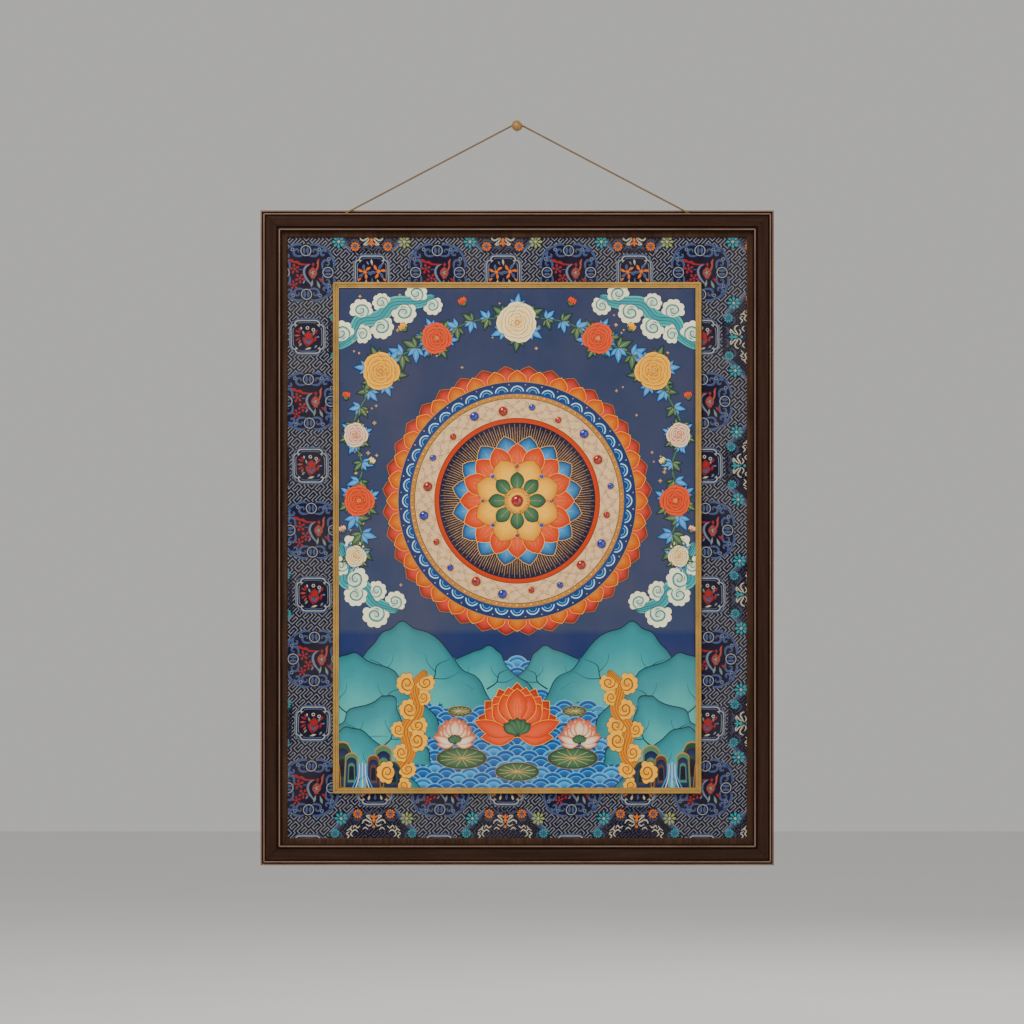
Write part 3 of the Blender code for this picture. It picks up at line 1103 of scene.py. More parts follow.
class Relief:
    """Draws lines and shapes that stand a little proud of a face, as one mesh."""

    def __init__(self, name: str, face: Face, easel: Easel) -> None:
        """Start an empty relief.

        Args:
            name: Its object's name.
            face: The face that it lies on.
            easel: What says where it is being drawn.
        """
        self.face = face
        self.easel = easel
        self.maker = MeshMaker(name)

    def _points(self, line: Array, stand: Array) -> Array:
        """Points in metres of a line's points and how far each stands out."""
        placed = self.easel.put(line.reshape(-1, 2)).reshape(line.shape)
        return self.face.place(stacked(placed[..., 0], placed[..., 1], stand))

    def band(self, line: Array, tone: Tone, level: float, width: float = 0.0, crown: float = 0.04,
             closed: bool = False, columns: int = 5) -> None:
        """Draw a rounded band along a line.

        Args:
            line: Its middle line; a third number in each row is the width there.
            tone: Its colours, from its middle to its edges.
            level: How far its edges stand out.
            width: Its width, where the line doesn't give one.
            crown: How far its middle rises over its edges.
            closed: Whether it comes back to its start.
            columns: Points across it.
        """
        half = (line[:, 2] if line.shape[1] > 2 else np.full(len(line), width)) / 2
        line = line[:, :2]
        across = np.linspace(-1.0, 1.0, columns)
        steps = sideways(line, closed)[:, None] * half[:, None, None] * across[None, :, None]
        swell = np.minimum(half / half.max(), 1.0)[:, None] * (1.0 - across**2)[None]
        points = self._points(line[:, None] + steps, level + crown * swell)
        share = (1.0 - across**2)[:, None]
        tints = np.array(tone.rim) * (1 - share) + np.array(tone.core) * share
        self.maker.grid(points, np.broadcast_to(tints, points.shape), close=closed)

    def thin(self, line: Array, tone: Tone, level: float, width: float = 0.0, crown: float = 0.04,
             closed: bool = False) -> None:
        """Draw a band too thin for more than three points across; Args are as band's."""
        self.band(line, tone, level, width, crown, closed, 3)

    def shape(self, outline: Array, level: float, rings: Sequence[tuple[float, float, Colour]],
              hub: Sequence[float] | None = None) -> None:
        """Draw a filled outline as rings about a hub.

        Args:
            outline: Its closed outline, all of it in sight of the hub.
            level: How far it stands out where a ring's rise is 0.
            rings: Each ring's scale, rise and colour, from the rim in; the last one is the hub's.
            hub: The point that the rings shrink to; the outline's own middle if None.
        """
        middle = outline.mean(0) if hub is None else np.array(hub, float)
        scales, rises, colours = (np.array(part) for part in zip(*rings))
        around = middle + (outline - middle)[None] * scales[:-1, None, None]
        points = self._points(around, (level + rises)[:-1, None])
        tints = np.broadcast_to(colours[:-1, None], points.shape)
        self.maker.rings(points, tints, self._points(middle, level + rises[-1]), colours[-1])

    def leaf(self, outline: Array, tone: Tone, level: float, crown: float = 0.06,
             hub: Sequence[float] | None = None) -> None:
        """Draw a shape that shades from its hub to its rim, with its tone's line round it.

        Args:
            outline: Its closed outline.
            tone: Its colours.
            level: How far its line and its rim stand out.
            crown: How far its hub rises.
            hub: Where the shading starts; the outline's own middle if None.
        """
        if tone.line is not None:
            line = flat((1.0, tone.line), (0.7, tone.line), (0.0, tone.line))
            self.shape(grown(outline, OUTLINE), level, line, hub)
            level += LAYER
        shares = ((1.0, 0.0), (0.84, 0.35), (0.52, 0.8), (0.0, 1.0))
        shading = [(scale, crown * share**0.5, blend(tone.rim, tone.core, share)) for scale, share in shares]
        self.shape(outline, level, shading, hub)

    def build(self, material: Material, trim: Pair, hidden: Pair | None = None) -> Object:
        """Make the relief's object.

        Args:
            material: Its material.
            trim: Half the width and height, in millimetres, that it is cut to.
            hidden: Half the width and height of a middle part that is left out.

        Returns:
            The new object.
        """
        made = self.maker.build(material)
        middle = Vector((self.face.middle_x, 0.0, self.face.middle_z))
        work = bmesh.new()
        work.from_mesh(made.data)
        if hidden:
            wide, high = hidden[0] * MM, hidden[1] * MM
            away = ((piece, piece.calc_center_median() - middle) for piece in work.faces)
            lost = [piece for piece, gap in away if abs(gap.x) < wide and abs(gap.z) < high]
            bmesh.ops.delete(work, geom=lost, context="FACES")
        for axis, size in zip((Vector((1, 0, 0)), Vector((0, 0, 1))), trim):
            for out in (-axis, axis):
                every = [*work.verts, *work.edges, *work.faces]
                place = middle + out * size * MM
                bmesh.ops.bisect_plane(work, geom=every, plane_co=place, plane_no=out, clear_outer=True)
        work.to_mesh(made.data)
        work.free()
        return made


# ---------------------------------------------------------------- studio


@dataclass
class Studio:
    """The camera, the soft lights and the pale floor; the camera looks straight on."""

    layout: Layout
    effects: Effects
    distance: float = 7.0
    pixels_per_mm: float = 0.8411
    frame_middle_px: Pair = (517.2, 537.8)
    sensor: float = 36.0
    clip_end: float = 60.0
    floor_drop: float = 0.34
    floor_size: float = 14.0
    room_light: float = 0.55

    def camera(self) -> None:
        """Set the camera so that the frame falls where the photograph has it."""
        data = bpy.data.cameras.new("camera")
        data.sensor_width = self.sensor
        data.lens = self.sensor * self.distance / (PHOTO_SIDE / self.pixels_per_mm * MM)
        data.clip_end = self.clip_end
        aside, drop = (place - PHOTO_SIDE / 2 for place in self.frame_middle_px)
        right, up = -aside / self.pixels_per_mm * MM, drop / self.pixels_per_mm * MM
        camera = shown("camera", data)
        camera.location = (right, self.layout.brocade.front - self.distance, self.layout.middle_z + up)
        camera.rotation_euler = (math.pi / 2, 0.0, 0.0)
        bpy.context.scene.camera = camera

    def lamp(self, name: str, place: Sequence[float], size: float, watts: float, colour: Colour) -> None:
        """Add one square area light that faces the picture's middle.

        Args:
            name: Its name.
            place: Where it is; its height is over the frame's middle.
            size: Its side.
            watts: Its power.
            colour: Its colour.
        """
        data = bpy.data.lights.new(name, "AREA")
        data.size = size
        data.energy = watts
        data.color = colour
        lamp = shown(name, data)
        middle = Vector((0.0, 0.0, self.layout.middle_z))
        lamp.location = middle + Vector(place)
        lamp.rotation_euler = (middle - lamp.location).to_track_quat("-Z", "Y").to_euler()

    def light(self) -> None:
        """Key from the upper left, a weak fill and the room's own light."""
        self.lamp("key", (-1.1, -2.2, 2.0), 1.2, 105.0, (1.0, 0.96, 0.90))
        self.lamp("fill", (1.8, -2.8, 0.3), 2.4, 30.0, (0.94, 0.96, 1.0))
        self.lamp("back", (1.2, 2.4, 1.6), 2.0, 40.0, (1.0, 0.97, 0.93))
        world = bpy.data.worlds.new("room")
        world.use_nodes = True
        background = world.node_tree.nodes["Background"].inputs
        background[0].default_value = (0.90, 0.89, 0.87, 1.0)
        background[1].default_value = self.room_light
        bpy.context.scene.world = world

    def floor(self) -> None:
        """A pale floor below the frame."""
        height = CAD_BOX[0][2] - self.floor_drop
        bpy.ops.mesh.primitive_plane_add(size=self.floor_size, location=(0, 0, height))
        plane = bpy.context.object
        plane.name = "floor"
        bench = Surface("pale_floor", self.effects)
        pale = bench.mix(bench.noise(bench.place, 0.004), (0.76, 0.75, 0.73), (0.81, 0.80, 0.78))
        plane.data.materials.append(bench.finish(pale, 0.8))

    def build(self) -> None:
        """Set the whole studio up."""
        self.camera()
        self.light()
        self.floor()


# ---------------------------------------------------------------- frame, fillet, peg, cord


@dataclass
class WoodFrame:
    """The rails, the slips inside them and the board behind."""

    layout: Layout
    effects: Effects

    def build(self) -> None:
        """Dress the CAD's own rails, slips and board."""
        layout = self.layout
        rails = WoodFinish(layout.half_width, layout.half_height, layout.middle_z / MM)
        slips = PlainWoodFinish("red_brown_wood", seen(92, 63, 46), seen(64, 42, 30))
        board = PlainWoodFinish("plain_board", srgb(172, 138, 98), srgb(140, 108, 74))
        dress(rails.build(self.effects), *Side.all_of("rail"))
        dress(slips.build(self.effects), *Side.all_of("slip"))
        dress(board.build(self.effects), "backing_board")


@dataclass
class MitreGlue:
    """The dried glue in the rails' mitres, which keeps light from showing through them."""

    layout: Layout
    effects: Effects
    thick: float = 0.28
    reach: Pair = (0.3, 17.45)
    back: float = 1.0
    front: float = 8.4
    unevenness: float = 0.5
    steps: int = 14

    def build(self) -> None:
        """Fill the four joints with glue that has an uneven front edge."""
        maker = MeshMaker("mitre_glue")
        inwards = np.linspace(*self.reach, self.steps)
        front = self.front + self.unevenness * np.sin(inwards * 1.7)
        half = self.thick / 2 / math.sqrt(2)
        for across in (-1, 1):
            for up in (-1, 1):
                x = across * (self.layout.half_width - inwards)
                z = up * (self.layout.half_height - inwards) + self.layout.middle_z / MM
                walls = [
                    stacked(x + side * up * half, -out, z - side * across * half) * MM
                    for side, out in ((-1, self.back), (1, self.back), (1, front), (-1, front))
                ]
                joint = np.stack(walls, 1)
                maker.grid(joint, np.ones_like(joint), wrap=True)
                for end in (0, -1):
                    maker.fan(joint[end].mean(0), joint[end], 1.0)
        glue = PlainWoodFinish("dried_glue", seen(58, 40, 30), seen(38, 25, 18), 0.4).build(self.effects)
        adopt(maker.build(glue, outwards=False), "dark_wood")


@dataclass
class Metalwork:
    """The reeded gilt strips around the painting, and the turned brass peg."""

    effects: Effects
    gilt: MetalFinish = MetalFinish(
        "old_gilt", seen(184, 156, 96), seen(166, 139, 82), 0.1, 0.45, span=26.0, pits=0.03, grime=0.15,
        gloss=0.25,
    )
    brass: MetalFinish = MetalFinish(
        "aged_brass", seen(178, 146, 100), seen(152, 120, 78), 0.35, 0.45, span=7.0, pits=0.03, grime=0.2,
        gloss=0.25,
    )

    def build(self) -> None:
        """Dress the CAD's own peg and strips."""
        dress(self.brass.build(self.effects), "wall_peg")
        dress(self.gilt.build(self.effects), *Side.all_of("fillet"))


@dataclass
class TwistedCord:
    """The taut cord from the top rail over the peg and back, laid of three strands."""

    effects: Effects
    diameter: float = 2.2
    strands: int = 3
    lay_length: float = 7.0
    sides: int = 12
    pitch: float = 0.7
    # The right half of its route as the CAD has it: x, distance out from the wall and z.
    route: tuple[tuple[float, float, float], ...] = (
        (0.00, 14.60, 5.55), (0.64, 14.60, 5.50), (1.27, 14.60, 5.34), (1.87, 14.60, 5.09),
        (3.00, 14.60, 4.49), (5.00, 14.60, 3.44), (9.00, 14.60, 1.34), (20.00, 14.60, -4.44),
        (60.00, 14.60, -25.47), (110.00, 14.60, -51.76), (160.00, 14.60, -78.04), (185.00, 14.60, -91.18),
        (193.00, 14.60, -95.39), (197.00, 14.58, -97.49), (200.20, 14.20, -99.16),
        (202.60, 12.85, -100.37), (204.40, 10.95, -101.17), (206.00, 8.85, -101.84),
        (207.60, 6.75, -102.50),
    )

    def line(self) -> Array:
        """Draw the centreline: a cubic through the route, its slopes from parabolas over chord lengths.

        Returns:
            The line's points.
        """
        right = rows(self.route) * (1, -1, 1)
        points = np.vstack([(right * (-1, 1, 1))[:0:-1], right])
        steps = np.diff(points, axis=0)
        chords = np.linalg.norm(steps, axis=1)
        runs = steps / chords[:, None]
        weights = chords[1:, None] + chords[:-1, None]
        inner = (runs[:-1] * chords[1:, None] + runs[1:] * chords[:-1, None]) / weights
        slopes = np.vstack([runs[:1], inner, runs[-1:]])
        drawn = [points[:1]]
        for i, chord in enumerate(chords):
            t = np.linspace(0, 1, max(2, round(chord / self.pitch)) + 1)[1:, None]
            start = points[i] * (2 * t**3 - 3 * t**2 + 1) + slopes[i] * chord * (t**3 - 2 * t**2 + t)
            end = points[i + 1] * (3 * t**2 - 2 * t**3) + slopes[i + 1] * chord * (t**3 - t**2)
            drawn.append(start + end)
        return np.vstack(drawn)

    def build(self) -> None:
        line = self.line()
        ahead = np.gradient(line, axis=0)
        ahead /= np.linalg.norm(ahead, axis=1)[:, None]
        side = np.cross(ahead, (0.0, -1.0, 0.0))
        side /= np.linalg.norm(side, axis=1)[:, None]
        out = np.cross(side, ahead)
        run = run_of(line)
        angles = np.arange(self.sides) * math.tau / self.sides
        turn = run[:, None] * math.tau / self.lay_length
        lobe = np.abs(np.cos((angles[None] - turn) * self.strands / 2))
        radius = self.diameter / 2 * (0.80 + 0.22 * lobe)
        around = np.cos(angles)[None, :, None] * side[:, None] + np.sin(angles)[None, :, None] * out[:, None]
        points = (line[:, None] + radius[..., None] * around) * MM
        maker = MeshMaker("hanging_cord_laid")
        maker.grid(points, np.full(points.shape, 0.5), wrap=True)
        for end in (0, -1):
            maker.fan(line[end] * MM, points[end], 0.5)
        laid = maker.build(CordFinish().build(self.effects), outwards=False)
        cord = adopt(laid, "tan_cord", "hanging_cord")


# ---------------------------------------------------------------- brocade


@dataclass(frozen=True)
class Silks:
    """The brocade's thread colours."""

    ground: Colour = seen(25, 21, 48)
    field: Tone = Tone(seen(26, 22, 46), seen(24, 20, 42))
    fret: Tone = Tone(seen(146, 147, 143), seen(96, 102, 116))
    blue: Tone = Tone(seen(62, 84, 134), seen(94, 108, 138))
    dusk: Tone = Tone(seen(66, 74, 102), seen(50, 54, 78))
    steel: Tone = Tone(seen(126, 134, 150), seen(92, 102, 126))
    silver: Tone = Tone(seen(156, 158, 156), seen(104, 112, 124))
    cream: Tone = Tone(seen(184, 178, 160), seen(140, 140, 136))
    pale: Tone = Tone(seen(168, 168, 160), seen(124, 128, 134))
    red: Tone = Tone(seen(168, 46, 44), seen(126, 40, 44))
    blush: Tone = Tone(seen(172, 92, 76), seen(140, 60, 56))
    orange: Tone = Tone(seen(208, 136, 60), seen(170, 98, 52))
    teal: Tone = Tone(seen(62, 160, 164), seen(44, 118, 130))
    lime: Tone = Tone(seen(160, 170, 112), seen(124, 134, 94))
    leaf: Tone = Tone(seen(136, 148, 142), seen(92, 104, 112))


@dataclass
class Brocade:
    """The brocade mount: one cloth whose pattern threads float a little proud of their ground.

    Medallions, framed fields and star flowers repeat over a key fret. A tile's middle is the middle
    of its medallion.
    """

    layout: Layout
    effects: Effects
    silks: Silks = Silks()
    tile: Pair = (156.2, 153.2)
    first: Pair = (-251.0, 315.5)
    columns: int = 5
    rows: int = 6
    # How far the weave has drifted to the right at each height on the cloth.
    drift: tuple[Pair, ...] = (
        (-372.0, 1.5), (-324.0, 2.8), (-269.0, 6.4), (-144.0, 10.6), (9.0, 6.8), (162.0, 3.3), (316.0, 0.0),
        (372.0, -0.6),
    )
    cloth_step: float = 9.0
    cloth_thick: float = 1.8
    edge: float = 0.6
    tucked: float = 6.0
    # One pair of hooks of the fret, in pitches; the pairs' step along the row, their rise and shift to
    # the next row, and how far beyond the cloth they are drawn.
    hook: tuple[Pair, ...] = (
        (2, 1), (0, 1), (0, 2), (3, 2), (3, 0), (0, 0), (0, -1), (-3, -1), (-3, -3), (0, -3), (0, -2),
        (-2, -2),
    )
    fret_steps: tuple[int, int, int] = (4, 6, 2)
    spare: float = 12.0
    fret_pitch: float = 3.16
    fret_width: float = 1.2
    coin_out: float = 26.0
    coin_radius: float = 6.0
    star_out: Pair = (39.0, 36.4)
    octagon_half: float = 53.5
    octagon_side: float = 24.0
    fret_level: float = 0.01
    field_level: float = 0.06
    scroll_level: float = 0.09
    motif_level: float = 0.12
    # How wide the motifs' petals and scrolls are, as a share of what their tables say.
    fineness: float = 0.84

    def build(self) -> None:
        self.easel = Easel()
        layout = self.layout
        heights, drifts = zip(*self.drift)
        drifting = replace(layout.brocade, heights=heights, drifts=drifts)
        names = ("brocade_fret", "brocade_fields", "brocade_scrolls", "brocade_flowers")
        reliefs = [Relief(name, drifting, self.easel) for name in names]
        self.fret, self.fields, self.scrolls, self.motifs = reliefs
        self.draw_fret()
        for column in range(-1, self.columns):
            for row in range(-1, self.rows):
                x, z = self.first[0] + column * self.tile[0], self.first[1] - row * self.tile[1]
                with self.easel.at(x, z):
                    self.repeat()
        trim, hidden = shrunk(layout.sheet_half, self.edge), shrunk(layout.fillet_half, self.tucked)
        threads = SilkFinish("brocade_floats", depth=0.06, slub=0.22).build(self.effects)
        floats = [adopt(relief.build(threads, trim, hidden), "brocade") for relief in reliefs]
        ground = SilkFinish("brocade_ground", self.silks.ground, depth=0.08, slub=0.3).build(self.effects)
        cloth = Cloth("brocade_cloth", layout.brocade, layout.sheet_half, self.cloth_step, self.cloth_thick)
        woven = cloth.build(ground, lambda x, z: np.broadcast_to(self.silks.ground, (*x.shape, 3)))
        adopt(woven, "brocade", "brocade_mount")

    def draw_fret(self) -> None:
        """Fill the cloth with a key fret of paired hooks, turned by 45 degrees."""
        hook, (step, rise, shift) = rows(self.hook), self.fret_steps
        reach = int(2 * max(self.layout.sheet_half) / self.fret_pitch / step)
        wide, high = shrunk(self.layout.sheet_half, -self.spare)
        gap_wide, gap_high = shrunk(self.layout.fillet_half, self.spare)
        with self.easel.at(turn=45):
            for i in range(-reach, reach + 1):
                for j in range(-reach, reach + 1):
                    along = np.array([i * step + j * shift, j * rise]) * self.fret_pitch
                    x, z = np.abs(self.easel.put(along))
                    if x <= wide and z <= high and not (x < gap_wide and z < gap_high):
                        line = hook * self.fret_pitch + along
                        self.fret.thin(line, self.silks.fret, self.fret_level, self.fret_width)

    def repeat(self) -> None:
        """One tile: a medallion, its stars, two framed fields and the octagon."""
        self.medallion()
        for flipped in self.easel.mirrored():
            for up in (1.0, -1.0):
                with self.easel.at(self.star_out[0], up * self.star_out[1]):
                    self.star(self.silks.lime if flipped else self.silks.teal)
        across, down = self.tile[0] / 2, -self.tile[1] / 2
        with self.easel.at(across, 0.0):
            self.framed_field()
            self.twin_flowers()
        with self.easel.at(0.0, down):
            self.framed_field()
            self.red_flower()
        with self.easel.at(across, down):
            self.octagon()

    def thread(self, outline: Array, silk: Tone, rise: float = 0.0, hub: Pair | None = None,
               crown: float = 0.05) -> None:
        """Float a filled motif on the cloth.

        Args:
            outline: Its closed outline.
            silk: Its thread.
            rise: How far it stands over the lowest motifs.
            hub: Where its shading starts; the outline's own middle if None.
            crown: How far its heart rises.
        """
        self.motifs.leaf(outline, silk, self.motif_level + rise, crown, hub)

    def scroll(self, points: Line, silk: Tone, level: float, share: float = 1.0, steps: int = 4) -> None:
        """Draw a flowing scroll.

        Args:
            points: Its points, each with its width there.
            silk: Its thread.
            level: How far it stands out.
            share: What its widths are multiplied by.
            steps: Pieces between one point and the next.
        """
        self.scrolls.band(smooth(points, steps) * (1, 1, share), silk, level)

    def leaves(self, *table: tuple[float, float, float, float, float, str]) -> None:
        """Draw petals and leaves.

        Args:
            *table: Where each starts (x and z), which way it turns, its length and width and its silk.
        """
        for x, z, turn, length, width, silk in table:
            with self.easel.at(x, z, turn):
                outline = petal(length, self.fineness * width, 0.35, 0.55)
                self.thread(outline, getattr(self.silks, silk), 0.0, (0, length * 0.5))

    def rosette(self, silk: Tone, heart: Tone, count: int, inner: float, length: float,
                width: float) -> None:
        """Draw a round flower of separate petals.

        Args:
            silk: Its petals' thread.
            heart: Its heart's thread.
            count: Its petals.
            inner: How far out they start.
            length: Their length.
            width: Their width.
        """
        outline = petal(length, self.fineness * width, 0.35, 0.62) + (0, inner)
        for _ in self.easel.around(count):
            self.thread(outline, silk, 0.0, (0, inner + length / 2))
        self.thread(ring(max(inner, 1.0), 10), heart, 0.03)

    def medallion(self) -> None:
        """A cloud collar round a dark field, with four coins and a flowering branch."""
        silks, level = self.silks, self.scroll_level
        angles = np.linspace(0.0, math.tau, 48, endpoint=False)
        round_field = polar(33.8 + 4.6 * np.sin(2 * angles) ** 2, angles)
        self.fields.leaf(round_field, silks.field, self.field_level, 0.0, (0, 0))
        collar = (
            (4.8, 32.2, 1.2), (8.4, 33.4, 2.9), (13.0, 33.2, 3.6), (17.2, 31.2, 2.8), (20.4, 30.2, 3.0),
            (24.0, 28.0, 3.8), (26.1, 26.1, 3.8), (28.0, 24.0, 3.8),
        )
        curl = (
            (3.4, 20.0, 1.2), (7.2, 19.4, 2.6), (11.6, 19.8, 3.0), (14.4, 22.6, 3.0), (13.4, 26.4, 2.8),
            (10.2, 27.4, 2.4), (8.4, 25.4, 1.6), (9.6, 23.6, 0.9),
        )
        knob = (
            (24.6, 24.6, 2.2), (21.0, 26.4, 2.6), (18.0, 24.2, 2.6), (18.6, 20.8, 2.4), (21.2, 20.6, 1.8),
            (21.8, 22.4, 1.0),
        )
        for _ in self.easel.around(4):
            for _ in self.easel.mirrored():
                self.scroll(collar, silks.blue, level, self.fineness, 3)
                self.scroll(curl, silks.blue, level, self.fineness)
                self.scrolls.thin(ring(1.7, 10, 16.0, 27.4), silks.steel, level + 0.02, 1.3, closed=True)
                self.thread(petal(8.4, 3.1, 0.3, 0.5) + (2.1, self.coin_out - 4.2), silks.blue)
            self.scroll(knob, silks.blue, level + 0.015)
            coin = ring(self.coin_radius, 24, 0.0, self.coin_out)
            self.scrolls.band(coin, silks.silver, level + 0.06, 1.3, closed=True)
        self.branch()

    def branch(self) -> None:
        """The medallion's flowering branch."""
        silks, level = self.silks, self.motif_level
        stem = (
            (3.8, 9.4, 1.2), (-0.6, 6.4, 2.6), (-2.6, 0.6, 3.0), (-0.4, -6.4, 2.8), (3.8, -12.0, 2.0),
            (6.0, -15.4, 0.8),
        )
        ribbon = (
            (-21.4, 15.8, 0.8), (-17.4, 14.0, 3.6), (-13.6, 12.2, 2.4), (-10.6, 12.2, 3.6), (-6.4, 9.8, 2.6),
            (0.6, 9.4, 1.8), (5.6, 9.8, 1.2),
        )
        spray = ((15.6, 16.0, 0.9), (14.0, 12.0, 2.8), (14.2, 8.4, 2.2), (13.2, 4.6, 2.4), (11.6, 0.8, 1.2))
        for line, silk in ((stem, silks.steel), (ribbon, silks.red), (spray, silks.blush)):
            self.scroll(line, silk, level)
        for _ in self.easel.each(((-13.6, 4.2, 10), (-7.6, -7.0, 40), (-15.0, -15.0, 80, 0.9))):
            self.rosette(silks.red, silks.blue, 5, 1.0, 5.4, 3.9)
        with self.easel.at(8.0, -0.4):
            self.thread(petal(14.0, 10.6, 0.5, 0.5) - (0, 7.0), silks.blush)
            self.thread(petal(8.4, 5.4, 0.5, 0.5) - (0, 4.2), silks.leaf, 0.05, crown=0.03)
            for angle in np.arange(5) * 2.5:
                seed = ring(1.0, 8, 1.9 * math.cos(angle), 3.0 * math.sin(angle))
                self.thread(seed, silks.red, 0.09, crown=0.02)
        self.leaves(
            (8.6, 6.6, 0, 5.2, 4.0, "red"), (7.6, -8.4, 168, 9.6, 3.6, "leaf"),
            (12.6, -9.6, 200, 10.4, 4.0, "leaf"), (14.6, -7.0, 235, 7.0, 4.2, "red"),
            (-3.4, 3.6, 95, 5.4, 1.4, "blue"), (-1.2, -9.0, 145, 5.4, 2.6, "steel"),
        )

    def star(self, silk: Tone) -> None:
        """A star flower of eight petals."""
        self.fields.leaf(ring(8.4, 20), self.silks.field, self.field_level + 0.02, 0.0)
        self.rosette(silk, self.silks.cream, 8, 1.7, 6.6, 3.9)

    def framed_field(self) -> None:
        """A small dark field inside four double brackets with turned-in ends."""
        silks, level = self.silks, self.scroll_level
        corner = rows([(21, 15), (15, 21), (-15, 21), (-21, 15)])
        self.fields.leaf(np.vstack([corner, -corner]), silks.field, self.field_level, 0.0, (0, 0))
        hooked = (
            (0, 19.4, 1.5), (9.0, 19.4, 1.5), (12.4, 18.6, 1.6), (14.6, 16.0, 1.7), (13.4, 13.6, 1.5),
            (11.8, 14.6, 0.9),
        )
        outer = rows([(0, 21.4), (11.0, 21.2), (15.4, 18.6), (17.6, 17.6)])
        inner = rows([(0, 17.2), (8.6, 17.0), (10.8, 16.0)])
        for turn in self.easel.around(4):
            line, wash = (silks.silver, silks.steel) if turn % 2 else (silks.pale, silks.blue)
            for _ in self.easel.mirrored():
                self.scroll(hooked, line, level + 0.01)
                self.scrolls.thin(outer, wash, level, 1.3)
                self.scrolls.thin(inner, wash, level, 1.2)

    def twin_flowers(self) -> None:
        """Two flowers side by side, orange over blue."""
        silks = self.silks
        outer = petal(8.2, 3.5, 0.4, 0.62, bend=0.22) + (0, 0.9)
        for _ in self.easel.each(((-8.2, 0.6, 20), (8.0, 1.2, -14, 1.05))):
            for i in self.easel.around(6):
                self.thread(outer, silks.orange if i % 2 else silks.blue, 0.01 * (i % 2), (0, 4.6))
            self.thread(scallops(2.6, 5, 0.3, 4), silks.orange, 0.06, crown=0.04)
        self.leaves(
            (0.6, 8.4, 8, 7.6, 3.2, "cream"), (-6.4, -8.4, 168, 6.6, 3.4, "cream"),
            (6.2, -8.2, 200, 6.8, 3.4, "cream"), (0.2, -6.4, 180, 8.0, 3.4, "blue"),
            (-12.6, -6.4, 130, 5.4, 3.2, "orange"), (13.0, -6.8, 225, 5.4, 3.2, "orange"),
            (-3.4, 8.8, 30, 5.4, 2.6, "steel"), (11.8, 8.6, -30, 4.8, 2.6, "steel"),
        )

    def red_flower(self) -> None:
        """A red flower in a blue calyx, with a leaf cluster and buds."""
        silks = self.silks
        self.leaves(
            (-0.8, -11.6, 22, 13.0, 4.4, "red"), (-0.4, -11.4, -42, 12.4, 4.2, "red"),
            (0.4, -8.6, 22, 9.4, 4.6, "blue"), (0.8, -8.4, -34, 9.2, 4.6, "blue"),
            (-3.6, 1.6, 18, 6.4, 3.0, "leaf"), (6.6, 1.0, -14, 6.2, 3.0, "steel"),
            (-8.2, 4.4, 60, 7.4, 3.0, "red"), (-8.4, 1.8, 92, 7.6, 3.0, "blush"),
            (-8.4, -0.8, 122, 7.4, 3.0, "red"), (-8.0, -3.2, 150, 6.0, 2.8, "blush"),
            (-7.8, 5.8, 26, 5.6, 2.8, "red"), (8.2, 3.2, -36, 6.6, 3.2, "red"),
            (8.6, -6.2, -10, 7.6, 3.4, "red"), (10.4, -0.6, -80, 4.0, 2.4, "steel"),
            (-3.2, -15.0, -75, 8.0, 3.0, "cream"), (-10.4, -11.4, -40, 5.6, 3.0, "leaf"),
            (8.0, -13.6, -40, 5.2, 3.0, "steel"), (-6.8, 8.4, 10, 3.8, 2.6, "cream"),
        )
        with self.easel.at(1.4, 1.0):
            self.thread(scallops(6.0, 5, 0.30, 5), silks.red, 0.05)
        for x, z in ((0.2, 10.6), (7.2, 8.4)):
            self.scrolls.thin(ring(1.6, 10, x, z), silks.cream, self.motif_level, 1.2, closed=True)

    def octagon(self) -> None:
        """The large dark field: double edges, four arms of scrolls and flowers, and a rosette."""
        silks, reach, side = self.silks, self.octagon_half, self.octagon_side
        half = rows([(reach, side), (side, reach), (-side, reach), (-reach, side)])
        self.fields.leaf(np.vstack([half, -half]), silks.field, self.field_level - 0.015, 0.0, (0, 0))
        for turn in self.easel.around(4):
            name, spread = ("teal", 22.5) if turn % 2 else ("orange", 19.4)
            silk = getattr(silks, name)
            for inset, edge in ((1.0, silks.steel), (3.8, silks.blue)):
                line = rows([(reach - inset, side), (side, reach - inset)])
                self.scrolls.thin(line, edge, self.field_level + 0.01, 1.5)
            self.leaves(*((0.0, 40.4, lean, 5.6, 2.8, name) for lean in (-52, 52, 0)))
            self.thread(ring(1.9, 8, 0, 30.4), silk)
            self.thread(petal(6.6, 3.8, 0.3, 0.5) + (0, 35.0), silk, 0.02)
            for _ in self.easel.mirrored():
                self.arm(silk, spread)
        outer = petal(15.0, 9.4, 0.35, 0.62) + (0, 3.0)
        for i in self.easel.around(8, 22.5):
            self.thread(outer, silks.steel if i % 2 else silks.blue, 0.01 * (i % 2), (0, 8))
        self.thread(scallops(5.0, 8, 0.2), silks.orange, 0.06)

